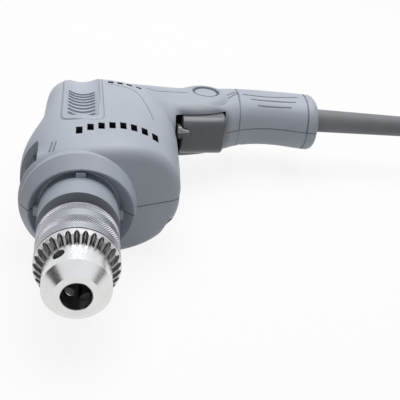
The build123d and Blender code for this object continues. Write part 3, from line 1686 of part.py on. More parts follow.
# Least gap of the coil to itself, between points of its path that are half the smallest turn apart
coil_steps = 1200
least_radius = coil_first_radius - coil_inward_half_turns * coil_radius_step
samples = [coil_wire.position_at(step / coil_steps) for step in range(coil_steps + 1)]
apart = math.ceil(coil_steps * math.pi * least_radius / coil_wire.length)
least_gap = min(
    (samples[low] - samples[high]).length
    for low in range(coil_steps + 1)
    for high in range(low + apart, coil_steps + 1)
)
print("cord_coil least gap to itself", round(least_gap - 2 * cord_radius, 2))

# The tie lies close around every turn that passes it, and the coil rests on it
tie_y = (far_turns[0][1].Y + far_turns[-1][1].Y) / 2
tie_sides = grown((tie_y, tie_y), tie_width / 2)
tie_circles = []
for radius, centre in far_turns:
    for y in (*tie_sides, tie_y):
        tie_circles.append((centre.X + math.sqrt(radius**2 - (y - centre.Y) ** 2), centre.Z))


def tie_outline(gap):
    """Outline around the turns at the tie, at a distance from them."""
    with BuildSketch(Plane.XZ) as outline:
        with Locations(*tie_circles):
            Circle(cord_radius + gap)
        make_hull()
    return outline.sketch


with BuildPart() as cord_tie:
    add(slab(tie_outline(tie_gap + tie_thickness), *tie_sides))
    add(slab(tie_outline(tie_gap), *tie_sides), mode=Mode.SUBTRACT)
cord_tie.part.label = "cord_tie"
export_step(cord_tie.part, "parts/cord_tie.step")

# Tail from the coil to the plug
tail_points = [coil_end]
for heading in tail_headings:
    angle = math.radians(heading)
    tail_points.append(tail_points[-1] + Vector(math.cos(angle), math.sin(angle), 0) * tail_run)
tail_radii = corner_radii(tail_points)
print("cord_tail radii", [round(radius, 1) for radius in tail_radii])
with BuildPart() as cord_tail:
    with BuildLine():
        tail_path = FilletPolyline(*tail_points, radius=tail_radii)
    with BuildSketch(Plane(origin=coil_end, z_dir=(1, 0, 0))):
        Circle(cord_radius)
    sweep(path=tail_path)
cord_tail.part.label = "cord_tail"
export_step(cord_tail.part, "parts/cord_tail.step")

section = math.pi * cord_radius**2
for piece, path in ((power_cord, cord_path), (cord_coil, coil_wire), (cord_tail, tail_path)):
    share = piece.part.volume / section / path.length
    print(piece.part.label, "volume over section times length", round(share, 4))
free_length = cord_path.length + coil_wire.length + tail_path.length
print("cord length", round(free_length + guard_tip_x - cord_inner_x))

# Two-pin mains plug on the end of the tail
plug_turn = math.radians(tail_headings[-1])
plug_plane = Plane(
    origin=tail_points[-1],
    x_dir=(-math.sin(plug_turn), math.cos(plug_turn), 0),
    z_dir=(math.cos(plug_turn), math.sin(plug_turn), 0),
)
plug_half_height = coil_end.Z - floor_z
plug_face_distance = plug_neck_length + plug_length
with BuildPart() as plug_body:
    with BuildSketch(plug_plane.offset(plug_neck_length)):
        RectangleRounded(plug_width, 2 * plug_half_height, plug_edge)
    extrude(amount=plug_length)
    fillet(plug_body.faces().sort_by(Axis(plug_plane.origin, plug_plane.z_dir))[0].edges(), plug_edge / 2)
    with BuildSketch(plug_plane):
        Circle(plug_neck_radius)
    extrude(amount=plug_neck_length)
    with BuildSketch(plug_plane.offset(plug_face_distance)):
        with GridLocations(plug_pin_spacing, 0, 2, 1):
            Circle(plug_pin_radius + fit_gap)
    extrude(amount=-plug_pin_length / 2, mode=Mode.SUBTRACT)
plug_body.part.label = "plug_body"
export_step(plug_body.part, "parts/plug_body.step")

with BuildPart() as plug_pins:
    with BuildSketch(plug_plane.offset(plug_face_distance - plug_pin_length / 2)):
        with GridLocations(plug_pin_spacing, 0, 2, 1):
            Circle(plug_pin_radius)
    extrude(amount=plug_pin_length * 1.5)
    tips = plug_pins.edges().group_by(Axis(plug_plane.origin, plug_plane.z_dir))[-1]
    fillet(tips, plug_pin_radius / 2)
plug_pins.part.label = "plug_pins"
export_step(plug_pins.part, "parts/plug_pins.step")
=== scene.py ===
"""Looks of a hammer drill that lies on its right side: materials, cord, fine forms, camera and light."""

import json
import math

import bmesh
import bpy
from mathutils import Matrix, Vector
from mathutils.bvhtree import BVHTree


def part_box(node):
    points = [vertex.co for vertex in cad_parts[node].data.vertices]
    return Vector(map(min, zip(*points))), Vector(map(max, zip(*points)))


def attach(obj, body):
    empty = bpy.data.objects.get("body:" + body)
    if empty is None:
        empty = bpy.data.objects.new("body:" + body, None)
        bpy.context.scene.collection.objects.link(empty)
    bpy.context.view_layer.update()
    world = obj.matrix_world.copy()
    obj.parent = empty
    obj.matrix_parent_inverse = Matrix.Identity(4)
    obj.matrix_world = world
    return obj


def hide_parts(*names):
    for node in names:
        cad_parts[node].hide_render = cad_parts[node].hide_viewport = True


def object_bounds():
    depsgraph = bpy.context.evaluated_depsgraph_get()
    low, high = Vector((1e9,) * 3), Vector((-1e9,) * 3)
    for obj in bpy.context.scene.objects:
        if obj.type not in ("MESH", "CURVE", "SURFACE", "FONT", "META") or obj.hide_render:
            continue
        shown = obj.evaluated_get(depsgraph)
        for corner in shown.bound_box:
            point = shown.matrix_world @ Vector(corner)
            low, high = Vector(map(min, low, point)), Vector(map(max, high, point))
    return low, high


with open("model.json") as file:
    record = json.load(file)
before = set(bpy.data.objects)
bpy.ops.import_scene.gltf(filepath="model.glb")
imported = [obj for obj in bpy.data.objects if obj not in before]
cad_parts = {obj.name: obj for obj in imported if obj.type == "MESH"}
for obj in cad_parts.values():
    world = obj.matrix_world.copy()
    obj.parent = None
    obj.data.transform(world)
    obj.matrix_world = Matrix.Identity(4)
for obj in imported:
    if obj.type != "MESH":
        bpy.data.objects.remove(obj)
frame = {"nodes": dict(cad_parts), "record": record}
cad_box = [list(corner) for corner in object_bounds()]
nodes = frame["nodes"]
scene = bpy.context.scene

# Sizes and places are in millimetres unless a name says metres, and MM turns them into metres
MM = 0.001
floor_z = -34.7

# Camera: at the photograph's viewpoint, worked out from the collar, the chuck and the handle
camera_place = Vector((-6.83, -376.62, 218.09)) * MM
yaw, pitch, roll = (math.radians(angle) for angle in (10.44, 27.78, 7.87))
forward = Vector((math.sin(yaw) * math.cos(pitch), math.cos(yaw) * math.cos(pitch), -math.sin(pitch)))
level = Vector((math.cos(yaw), -math.sin(yaw), 0))
upward = level.cross(forward)
right = math.cos(roll) * level + math.sin(roll) * upward
up = math.cos(roll) * upward - math.sin(roll) * level
camera_data = bpy.data.cameras.new("camera")
camera_data.lens = 74.06
camera_data.sensor_width = 36
camera_data.sensor_fit = "HORIZONTAL"
camera_data.clip_start = 0.01
camera_data.clip_end = 20
camera = bpy.data.objects.new("camera", camera_data)
scene.collection.objects.link(camera)
camera.matrix_world = Matrix.Translation(camera_place) @ Matrix((right, up, -forward)).transposed().to_4x4()
scene.camera = camera

# Cord: out of the guard, down to the floor, round the coil and on to the plug, with its angles in degrees
cord_radius = 3.75
guard_tip_x, cord_y = 235.0, 162.0
tie_room = 1.1
cord_slopes = (0, -16, -33, -38, -26, -11, 0)
inward_half_turns, outward_half_turns = 7, 6
coil_first_radius, coil_radius_step, coil_layer_step = 58.0, 4.0, 8.0
points_per_half_turn = 8
tail_headings, tail_run = (0, 9, 18), 19.0

cord_floor = floor_z + tie_room + cord_radius
cord_run = cord_floor / sum(math.sin(math.radians(slope)) for slope in cord_slopes)
route = [(guard_tip_x, cord_y, 0.0)]
for slope in cord_slopes:
    x, y, z = route[-1]
    angle = math.radians(slope)
    route.append((x + cord_run * math.cos(angle), y, z + cord_run * math.sin(angle)))

# The coil spirals in, climbs a layer in one half turn and spirals out, its points a little outside its arcs
coil_x = route[-1][0] + 2 * cord_radius
coil_y, coil_z, coil_radius = cord_y, cord_floor, coil_first_radius
point_spread = 1 / math.cos(math.pi / (2 * points_per_half_turn))
for half_turn in range(inward_half_turns + 1 + outward_half_turns):
    side = 1 if half_turn % 2 == 0 else -1
    climb = coil_layer_step if half_turn == inward_half_turns else 0.0
    middle_y = coil_y - side * coil_radius
    for step in range(points_per_half_turn):
        angle = math.pi * (step + 0.5) / points_per_half_turn
        x = coil_x + side * point_spread * coil_radius * math.sin(angle)
        y = middle_y + side * point_spread * coil_radius * math.cos(angle)
        route.append((x, y, coil_z + climb / 2 * (1 - math.cos(angle))))
    coil_y -= 2 * side * coil_radius
    coil_z += climb
    coil_radius += coil_radius_step if half_turn >= inward_half_turns else -coil_radius_step
route.append((coil_x + 2 * cord_radius, coil_y, coil_z))
for heading in tail_headings:
    x, y, z = route[-1]
    angle = math.radians(heading)
    route.append((x + tail_run * math.cos(angle), y + tail_run * math.sin(angle), z))

# The bevel is 1, so that each point's own radius is the cord's
cord_curve = bpy.data.curves.new("mains_cord", "CURVE")
cord_curve.dimensions = "3D"
cord_curve.bevel_depth = 1
cord_curve.bevel_resolution = 5
cord_curve.resolution_u = 6
spline = cord_curve.splines.new("NURBS")
spline.points.add(len(route) - 1)
for point, (x, y, z) in zip(spline.points, route):
    point.co = (x * MM, y * MM, z * MM, 1)
    point.radius = cord_radius * MM
spline.order_u = 3
spline.use_endpoint_u = True
cord = bpy.data.objects.new("mains_cord", cord_curve)
scene.collection.objects.link(cord)
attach(cord, "housing")
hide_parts("power_cord", "cord_coil", "cord_tail")


# Shader helpers, with the width of a soft edge and the part of a noise's range that is used
edge_blur = 0.3 * MM
noise_middle = (0.3, 0.7)


def node(tree, kind, **values):
    """A shader node with its settings, and its inputs set as in_Name or in_number."""
    made = tree.nodes.new(kind)
    for key, value in values.items():
        if key.startswith("in_"):
            name = key.removeprefix("in_")
            made.inputs[int(name) if name.isdigit() else name].default_value = value
        else:
            setattr(made, key, value)
    return made


def maths(tree, operation, first, second=0.0):
    """The result of a maths node on two sockets, or on a socket and a number."""
    made = node(tree, "ShaderNodeMath", operation=operation)
    for index, source in enumerate((first, second)):
        if isinstance(source, (int, float)):
            made.inputs[index].default_value = source
        else:
            tree.links.new(source, made.inputs[index])
    return made.outputs[0]


def map_range(tree, source, start, end, start_value, end_value):
    """A value that goes from start_value to end_value as source goes from start to end."""
    made = node(tree, "ShaderNodeMapRange", in_1=start, in_2=end, in_3=start_value, in_4=end_value)
    tree.links.new(source, made.inputs[0])
    return made.outputs[0]


def below(tree, source, limit, soft=edge_blur):
    """1 where source is under limit and 0 where it is over limit + soft."""
    return map_range(tree, source, limit, limit + soft, 1.0, 0.0)


def above(tree, source, limit, soft=edge_blur):
    """1 where source is over limit and 0 where it is under limit - soft."""
    return map_range(tree, source, limit - soft, limit, 0.0, 1.0)


def within(tree, source, middle, half, soft=edge_blur):
    """1 where source is less than half away from middle."""
    return below(tree, maths(tree, "ABSOLUTE", maths(tree, "SUBTRACT", source, middle)), half, soft)


def axes(tree, kind):
    """The x, y and z sockets of the place ("Object") or of the direction out ("Normal")."""
    parts = tree.nodes.new("ShaderNodeSeparateXYZ")
    tree.links.new(tree.nodes.new("ShaderNodeTexCoord").outputs[kind], parts.inputs[0])
    return parts.outputs


def noise(tree, **values):
    """A noise texture's value at the place on the object."""
    made = node(tree, "ShaderNodeTexNoise", **values)
    tree.links.new(tree.nodes.new("ShaderNodeTexCoord").outputs["Object"], made.inputs["Vector"])
    return made.outputs[0]


def spread(tree, source, low, high):
    """A grey or a colour from low to high, over the middle of a noise's range."""
    made = tree.nodes.new("ShaderNodeValToRGB")
    for element, position, tone in zip(made.color_ramp.elements, noise_middle, (low, high)):
        element.position = position
        element.color = (*tone, 1) if isinstance(tone, tuple) else (tone, tone, tone, 1)
    tree.links.new(source, made.inputs[0])
    return made.outputs[0]


def tint(tree, mask, colour):
    """Lay a colour over the main shader's base colour where the mask is 1."""
    base = tree.nodes["Principled BSDF"].inputs["Base Color"]
    mix = node(tree, "ShaderNodeMix", data_type="RGBA", in_7=(*colour, 1))
    tree.links.new(mask, mix.inputs[0])
    tree.links.new(base.links[0].from_socket, mix.inputs[6])
    tree.links.new(mix.outputs[2], base)


def relief(tree, source, depth):
    """Raise the surface by a source's value, up to a depth."""
    bump = node(tree, "ShaderNodeBump", in_Strength=1.0, in_Distance=depth * MM)
    tree.links.new(source, bump.inputs["Height"])
    tree.links.new(bump.outputs[0], tree.nodes["Principled BSDF"].inputs["Normal"])


def new_material(name, metal):
    """A new material, its node tree and its main shader."""
    made = bpy.data.materials.new(name)
    made.use_nodes = True
    shader = made.node_tree.nodes["Principled BSDF"]
    shader.inputs["Metallic"].default_value = metal
    return made, made.node_tree, shader


# Depths of the grain and of the turning lines, the roughness of a coat and of places with painted shade, and
# the colour of painted shade in valleys
grain_depth, turning_depth = 0.04, 0.004
coat_roughness, dark_roughness = 0.2, 0.45
valley_shade = (0.035, 0.034, 0.033)


def material(name, low, high, rough, metal=0.0, grain=600, coat=0.0):
    """A material whose colour drifts between low and high, with a fine grain in its surface."""
    made, tree, shader = new_material(name, metal)
    if coat:
        shader.inputs["Coat Weight"].default_value = coat
        shader.inputs["Coat Roughness"].default_value = coat_roughness
    drift = noise(tree, in_Scale=40, in_Detail=4.0, in_Roughness=0.6)
    tree.links.new(spread(tree, drift, low, high), shader.inputs["Base Color"])
    fine = noise(tree, in_Scale=grain, in_Detail=2.0, in_Roughness=0.55)
    tree.links.new(spread(tree, fine, *rough), shader.inputs["Roughness"])
    relief(tree, fine, grain_depth)
    return made


def turned_steel(name, low, high, rough, shade_radius=0.0, shade_behind=(), dark=valley_shade):
    """Steel with fine turning lines round the spindle.

    It is painted with shade, in the colour dark, inside shade_radius, and inside each radius of shade_behind
    from its y on to the rear.
    """
    made, tree, shader = new_material(name, 1.0)
    x, y, z = axes(tree, "Object")
    flat = tree.nodes.new("ShaderNodeCombineXYZ")
    tree.links.new(x, flat.inputs[0])
    tree.links.new(z, flat.inputs[2])
    length = node(tree, "ShaderNodeVectorMath", operation="LENGTH")
    tree.links.new(flat.outputs[0], length.inputs[0])
    radius = length.outputs["Value"]
    lines = node(
        tree, "ShaderNodeTexNoise", noise_dimensions="1D", in_Scale=2600.0, in_Detail=3.0, in_Roughness=0.7
    )
    tree.links.new(maths(tree, "ADD", radius, y), lines.inputs["W"])
    cloud = noise(tree, in_Scale=90.0, in_Detail=4.0)
    tree.links.new(spread(tree, cloud, low, high), shader.inputs["Base Color"])
    roughness = spread(tree, lines.outputs[0], *rough)
    shades = []
    if shade_radius:
        shades.append(below(tree, radius, shade_radius * MM))
    for start_y, reach in shade_behind:
        inside = below(tree, radius, reach * MM)
        shades.append(maths(tree, "MINIMUM", inside, above(tree, y, start_y * MM)))
    if shades:
        shade = shades[0]
        for other in shades[1:]:
            shade = maths(tree, "MAXIMUM", shade, other)
        tint(tree, shade, dark)
        duller = node(tree, "ShaderNodeMix", in_3=dark_roughness)
        tree.links.new(shade, duller.inputs[0])
        tree.links.new(roughness, duller.inputs[2])
        roughness = duller.outputs[0]
    tree.links.new(roughness, shader.inputs["Roughness"])
    relief(tree, lines.outputs[0], turning_depth)
    return made


# Plastics and rubbers
housing_tones = (0.375, 0.405, 0.46), (0.405, 0.435, 0.492)
housing_rough = (0.42, 0.55)
housing_plastic = material("housing_plastic", *housing_tones, housing_rough, grain=1500)
shell_plastic = material("shell_plastic", *housing_tones, housing_rough, grain=1500)
black_plastic = material(
    "black_plastic", (0.062, 0.065, 0.072), (0.078, 0.081, 0.09), (0.32, 0.45), grain=1800
)
lever_plastic = material("lever_plastic", (0.085, 0.088, 0.094), (0.11, 0.113, 0.12), (0.35, 0.5), grain=1600)
trigger_plastic = material(
    "trigger_plastic", (0.068, 0.074, 0.083), (0.085, 0.092, 0.103), (0.26, 0.36), grain=1800, coat=0.25
)
rubber = material("rubber", (0.16, 0.167, 0.178), (0.205, 0.212, 0.224), (0.5, 0.68), grain=2200)
cord_rubber = material("cord_rubber", (0.075, 0.077, 0.082), (0.1, 0.102, 0.108), (0.45, 0.6), grain=2000)

# Moulded lines of the shells, from faint to dark; the creases and the grooves are painted shade
line_rough = (0.5, 0.6)
crease_shade_plastic = material("crease_shade_plastic", (0.19, 0.205, 0.234), (0.22, 0.237, 0.27), line_rough, grain=1500)
groove_shade_plastic = material(
    "groove_shade_plastic", (0.135, 0.146, 0.167), (0.165, 0.178, 0.203), line_rough, grain=1500
)
seam_plastic = material("seam_plastic", (0.05, 0.054, 0.062), (0.07, 0.075, 0.086), line_rough, grain=1500)

# Metals
steel = material("machined_steel", (0.5, 0.5, 0.5), (0.62, 0.62, 0.61), (0.22, 0.38), metal=1.0, grain=900)
polished = material(
    "polished_steel", (0.74, 0.74, 0.73), (0.83, 0.83, 0.82), (0.1, 0.2), metal=1.0, grain=700
)
dark_steel = material(
    "phosphated_steel", (0.27, 0.28, 0.3), (0.36, 0.37, 0.39), (0.3, 0.42), metal=1.0, grain=1200
)
# Near-black steel: painted shade in the gap at the front of the chuck sleeve
gap_shade_steel = material("gap_shade_steel", (0.03, 0.03, 0.03), (0.05, 0.05, 0.05), (0.5, 0.6), metal=0.6, grain=900)
jaw_steel = material("jaw_steel", (0.22, 0.22, 0.22), (0.3, 0.3, 0.3), (0.3, 0.45), metal=1.0, grain=900)
alloy = material("painted_alloy", (0.33, 0.36, 0.41), (0.37, 0.4, 0.455), (0.4, 0.52), grain=1400)
iron = material("laminated_iron", (0.16, 0.16, 0.17), (0.25, 0.25, 0.26), (0.4, 0.6), metal=0.9, grain=900)
copper = material(
    "enamelled_copper", (0.55, 0.25, 0.12), (0.68, 0.36, 0.18), (0.25, 0.4), metal=0.9, grain=1500
)

# Turned steels of the chuck: its body has painted shade in the bore and where the gear ring covers it
chuck_steel = turned_steel(
    "chuck_steel",
    (0.7, 0.7, 0.69),
    (0.78, 0.78, 0.77),
    (0.2, 0.29),
    shade_radius=7.4,
    shade_behind=((-66.9, 10.4), (-49.6, 30.0)),
    dark=(0.17, 0.168, 0.165),
)
ring_steel = turned_steel("ring_steel", (0.6, 0.59, 0.58), (0.68, 0.67, 0.66), (0.2, 0.34))
# Painted shade for the gear ring: darkest in its grooves, less dark at their roots and on its ridges
groove_shade_steel = turned_steel("groove_shade_steel", (0.045, 0.043, 0.041), (0.07, 0.066, 0.063), (0.34, 0.48))
root_shade_steel = turned_steel("root_shade_steel", (0.15, 0.143, 0.135), (0.2, 0.192, 0.184), (0.3, 0.42))
ridge_shade_steel = turned_steel("ridge_shade_steel", (0.3, 0.29, 0.28), (0.37, 0.36, 0.35), (0.24, 0.36))
sleeve_steel = turned_steel("sleeve_steel", (0.32, 0.33, 0.352), (0.38, 0.39, 0.412), (0.26, 0.4))
# Knurl steel, with painted shade in the valleys of the knurls
knurl_steel = turned_steel(
    "knurl_steel", (0.4, 0.41, 0.435), (0.48, 0.49, 0.515), (0.46, 0.58), shade_radius=20.68
)

# The reversing lever's finger tip, where it stands high, has painted light: it is painted lighter than its
# arm
lever_tip_y, lever_tip_z = 112.6, 6.2
tree = lever_plastic.node_tree
_, y, z = axes(tree, "Object")
painted_tip_light = maths(tree, "MINIMUM", below(tree, y, lever_tip_y * MM), above(tree, z, lever_tip_z * MM))
tint(tree, painted_tip_light, (0.42, 0.43, 0.44))

# The trigger is painted lighter where it faces up, as painted light from above
painted_light_from, painted_light_to, painted_light_strength = 0.25, 0.8, 0.85
tree = trigger_plastic.node_tree
_, _, facing_up = axes(tree, "Normal")
tint(tree, map_range(tree, facing_up, painted_light_from, painted_light_to, 0.0, painted_light_strength), (0.095, 0.1, 0.11))

# The shells have near-black painted shade on the walls of the vents, whose rows have a middle and half a size
# in x and in y
vent_rows = (19.6, 25.5, 47.5, 9.5), (27.0, 13.5, 132.5, 6.0)
wall_tilt, wall_tilt_blur = 0.4, 0.1
tree = shell_plastic.node_tree
x, y, z = axes(tree, "Object")
_, _, facing_up = axes(tree, "Normal")
rows = []
for middle_x, half_x, middle_y, half_y in vent_rows:
    inside_x = within(tree, x, middle_x * MM, half_x * MM)
    inside_y = within(tree, y, middle_y * MM, half_y * MM)
    rows.append(maths(tree, "MINIMUM", inside_x, inside_y))
steep = within(tree, facing_up, 0.0, wall_tilt, wall_tilt_blur)
tint(tree, maths(tree, "MULTIPLY", maths(tree, "MAXIMUM", *rows), steep), (0.012, 0.013, 0.015))

# The shells are shaded where they turn in over the trigger
shade_x, shade_half_x, shade_y, shade_z = 80.6, 15.0, 131.0, 15.0
shade_strength, shade_side_blur, shade_blur = 0.85, 6.0, 4.0
along = within(tree, x, shade_x * MM, shade_half_x * MM, shade_side_blur * MM)
front = below(tree, y, shade_y * MM, shade_blur * MM)
over = below(tree, z, shade_z * MM, shade_blur * MM)
turned_in = maths(tree, "MULTIPLY", maths(tree, "MULTIPLY", along, front), over)
tint(tree, maths(tree, "MULTIPLY", turned_in, shade_strength), (0.1, 0.108, 0.124))

by_slot = {
    "housing": housing_plastic,
    "black_plastic": black_plastic,
    "rubber": rubber,
    "polished_steel": polished,
    "dark_steel": dark_steel,
    "steel": steel,
    "cast_alloy": alloy,
    "core_iron": iron,
    "copper": copper,
}
by_node = {
    "housing_left": shell_plastic,
    "housing_right": shell_plastic,
    "trigger": trigger_plastic,
    "reversing_lever": lever_plastic,
    "lock_button": housing_plastic,
    "chuck_body": chuck_steel,
    "chuck_gear_ring": ring_steel,
    "chuck_sleeve": sleeve_steel,
    "chuck_jaw_1": jaw_steel,
    "chuck_jaw_2": jaw_steel,
    "chuck_jaw_3": jaw_steel,
}


def paint(obj, *made):
    """Give an object its materials, in the order of its polygons' material numbers."""
    obj.data.materials.clear()
    for one in made:
        obj.data.materials.append(one)


for entry in frame["record"]["subparts"]:
    name = entry["node"]
    paint(nodes[name], by_node.get(name, by_slot[entry["material_slot"]]))
paint(cord, cord_rubber)


# Mesh helpers
def box_mm(name):
    """A node's lowest and highest corners at rest, in millimetres."""
    return [[value / MM for value in corner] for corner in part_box(name)]


def metres(x, y, z):
    """A place in millimetres, as a vector in metres."""
    return Vector((x * MM, y * MM, z * MM))


def vertex(mesh, x, y, z):
    """A new point of a mesh, at a place in millimetres."""
    return mesh.verts.new(metres(x, y, z))


def circle(count, start=0.0):
    """Angles spaced evenly round a circle."""
    return [start + 2 * math.pi * index / count for index in range(count)]


def wave(value):
    """A zigzag that is 1 at each whole number and 0 halfway between."""
    return abs(2 * (value - math.floor(value)) - 1)


def bridge(mesh, loops, closed=True):
    """Faces between each loop of points and the next, right round the loops if they are closed."""
    for first, second in zip(loops, loops[1:]):
        for index in range(len(first) if closed else len(first) - 1):
            after = (index + 1) % len(first)
            mesh.faces.new((first[index], first[after], second[after], second[index]))


def cap_ends(mesh, loops):
    """Faces that close the first and the last loop."""
    mesh.faces.new(loops[0])
    mesh.faces.new(loops[-1])


def piece(name, mesh, body, slot, *made, smooth=True):
    """A new piece of the object from a mesh, on a body, with one or more materials."""
    data = bpy.data.meshes.new(name)
    bmesh.ops.recalc_face_normals(mesh, faces=mesh.faces)
    mesh.to_mesh(data)
    mesh.free()
    for polygon in data.polygons:
        polygon.use_smooth = smooth
    made_object = bpy.data.objects.new(name, data)
    scene.collection.objects.link(made_object)
    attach(made_object, body)
    paint(made_object, *made)
    return made_object


# Chuck sleeve with two bands of diamond knurling, bored wide at the rear for the chuck's flange
(_, sleeve_front_y, _), (sleeve_radius, sleeve_rear_y, _) = box_mm("chuck_sleeve")
sleeve_bore, sleeve_wide_bore, sleeve_wide_y = 18.05, 19.9, -31.0
front_chamfer, rear_chamfer = 0.6, 0.3
knurl_bands = (-35.7, -29.6), (-23.5, -18.1)
knurl_root_radius, knurl_height, knurl_pitch, knurl_flat = 20.62, 0.44, 2.2, 1.7
band_edge, band_edge_radius = 0.2, 20.6
knurls, rows_per_knurl, columns_per_knurl = 110, 6, 6

# Its section: y, radius and height of the knurls there
section = [
    (sleeve_front_y, sleeve_bore, 0),
    (sleeve_front_y, sleeve_radius - front_chamfer, 0),
    (sleeve_front_y + front_chamfer, sleeve_radius, 0),
]
for front_y, rear_y in knurl_bands:
    knurled_length = rear_y - front_y - 2 * band_edge
    count = round(knurled_length / knurl_pitch * rows_per_knurl)
    section += [(front_y - band_edge, sleeve_radius, 0), (front_y, band_edge_radius, 0)]
    for row in range(count + 1):
        section.append((front_y + band_edge + knurled_length * row / count, knurl_root_radius, knurl_height))
    section += [(rear_y, band_edge_radius, 0), (rear_y + band_edge, sleeve_radius, 0)]
section += [
    (sleeve_rear_y - rear_chamfer, sleeve_radius, 0),
    (sleeve_rear_y, sleeve_radius - rear_chamfer, 0),
    (sleeve_rear_y, sleeve_wide_bore, 0),
    (sleeve_wide_y, sleeve_wide_bore, 0),
    (sleeve_wide_y, sleeve_bore, 0),
]
mesh = bmesh.new()
rings = []
for y, radius, height in section:
    ring = []
    for column, angle in enumerate(circle(knurls * columns_per_knurl)):
        across, along = column / columns_per_knurl, y / knurl_pitch
        crest = min(wave(across + along), wave(across - along))
        out = radius + height * min(1, knurl_flat * crest)
        ring.append(vertex(mesh, out * math.cos(angle), y, out * math.sin(angle)))
    rings.append(ring)
bridge(mesh, rings + rings[:1])
sleeve_finishes = sleeve_steel, knurl_steel, gap_shade_steel
sleeve = piece("knurled_sleeve", mesh, "chuck_sleeve_group", "dark_steel", *sleeve_finishes, smooth=False)
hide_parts("chuck_sleeve")
# The sleeve's front chamfer is painted with the gap's shade, and the knurled bands get the knurl steel
for polygon in sleeve.data.polygons:
    x, y, z = polygon.center / MM
    if y < sleeve_front_y + front_chamfer:
        polygon.material_index = sleeve_finishes.index(gap_shade_steel)
    elif math.hypot(x, z) > sleeve_wide_bore and any(front_y < y < rear_y for front_y, rear_y in knurl_bands):
        polygon.material_index = sleeve_finishes.index(knurl_steel)

# Gear ring of the chuck: grooves for the key, open at the nose and closed by an arch at the rim
(_, face_inner_y, _), (ring_radius, ring_rear_y, _) = box_mm("chuck_gear_ring")
ring_bore, ring_step_y, face_outer_y, ring_chamfer = 16.65, -46.2, -44.0, 0.3
teeth, columns_per_tooth, first_tooth = 30, 16, math.radians(63.4)
groove_share, arch_start, arch_length, arch_power = 0.76, 0.66, 0.3, 0.45
groove_inner_depth, groove_rise, groove_least_depth, groove_wall = 2.3, 2.5, 1.5, 1.15
painted_depth, root_share, ridge_end = 0.1, 0.15, 0.75
face_shares = (0, 0.12, 0.24, 0.36, 0.48, 0.6, 0.66, 0.72, 0.78, 0.83, 0.87, 0.9, 0.925, 0.94, 0.97, 1)


def groove_depth(out, aside):
    """Depth of a groove at a share of the way out, and at a share of half a tooth aside from its middle."""
    reach = groove_share
    if out > arch_start:
        reach *= max(0.0, 1 - (out - arch_start) / arch_length) ** arch_power
    if aside >= reach:
        return 0.0
    depth = max(groove_least_depth, groove_inner_depth - groove_rise * out) * reach / groove_share
    return depth * min(1.0, groove_wall * (1 - aside / reach))


mesh = bmesh.new()
columns = teeth * columns_per_tooth
angles = circle(columns, first_tooth)
rings = []
for out in face_shares:
    radius = ring_bore + out * (ring_radius - ring_bore)
    face_y = face_inner_y + out * (face_outer_y - face_inner_y)
    ring = []
    for column, angle in enumerate(angles):
        y = face_y + groove_depth(out, wave(column / columns_per_tooth))
        ring.append(vertex(mesh, radius * math.cos(angle), y, radius * math.sin(angle)))
    rings.append(ring)
for radius, y in (
    (ring_radius, ring_rear_y - ring_chamfer),
    (ring_radius - ring_chamfer, ring_rear_y),
    (sleeve_bore, ring_rear_y),
    (sleeve_bore, ring_step_y),
    (ring_bore, ring_step_y),
):
    rings.append([vertex(mesh, radius * math.cos(angle), y, radius * math.sin(angle)) for angle in angles])
bridge(mesh, rings + rings[:1])
ring_finishes = ring_steel, groove_shade_steel, root_shade_steel, ridge_shade_steel
geared = piece("geared_ring", mesh, "chuck_sleeve_group", "polished_steel", *ring_finishes, smooth=False)
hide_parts("chuck_gear_ring")
# The grooves are painted with shade, less dark at their roots, and the inner ridges between them with a
# lighter painted shade
for row, (start, end) in enumerate(zip(face_shares, face_shares[1:])):
    for column in range(columns):
        aside = wave((column + 0.5) / columns_per_tooth)
        polygon = geared.data.polygons[row * columns + column]
        if groove_depth((start + end) / 2, aside) > painted_depth:
            finish = root_shade_steel if aside < root_share else groove_shade_steel
            polygon.material_index = ring_finishes.index(finish)
        elif end < ridge_end:
            polygon.material_index = ring_finishes.index(ridge_shade_steel)

# Hammer spring, shortened at its front by the length of the stroke, as it does not give way
spring_turns, steps_per_turn, wire_sides, wire_radius, stroke_room = 3, 40, 12, 0.8, 1.7
(spring_low_x, spring_low_y, _), (spring_high_x, spring_high_y, _) = box_mm("hammer_spring")
spring_radius = (spring_high_x - spring_low_x) / 2 - wire_radius
start_y, end_y = spring_low_y + wire_radius + stroke_room, spring_high_y - wire_radius
spring_steps = spring_turns * steps_per_turn
mesh = bmesh.new()
loops = []
for step in range(spring_steps + 1):
    turn = 2 * math.pi * step / steps_per_turn
    middle_y = start_y + (end_y - start_y) * step / spring_steps
    loop = []
    for angle in circle(wire_sides):
        out = spring_radius + wire_radius * math.cos(angle)
        y = middle_y + wire_radius * math.sin(angle)
        loop.append(vertex(mesh, out * math.cos(turn), y, out * math.sin(turn)))
    loops.append(loop)
bridge(mesh, loops)
cap_ends(mesh, loops)
coil = piece("hammer_coil", mesh, "housing", "steel", steel)
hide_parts("hammer_spring")

# Moulded lines on the left shell, laid on its surface
shell_tree = BVHTree.FromObject(nodes["housing_left"], bpy.context.evaluated_depsgraph_get())
far = 60.0
top_room = 0.02
highest_z = cad_box[1][2] + top_room * MM


def on_shell(x, y):
    """The point of the left shell at x, y, and the direction out of it."""
    place, out, _, _ = shell_tree.ray_cast(metres(x, y, far), Vector((0, 0, -1)))
    return place, out


def on_curve(before, start, end, after, share):
    """A value on a soft curve from start to end, at a share of the way."""
    square = 2 * before - 5 * start + 4 * end - after
    cube = 3 * start - before - 3 * end + after
    return 0.5 * (2 * start + (end - before) * share + square * share**2 + cube * share**3)


def smooth_path(points, step=0.8):
    """Points along a soft curve through the given x, y points."""
    ends = [points[0], *points, points[-1]]
    path = []
    for before, start, end, after in zip(ends, ends[1:], ends[2:], ends[3:]):
        count = max(2, round(math.dist(start, end) / step))
        for index in range(count):
            path.append([on_curve(*values, index / count) for values in zip(before, start, end, after)])
    path.append(points[-1])
    return path


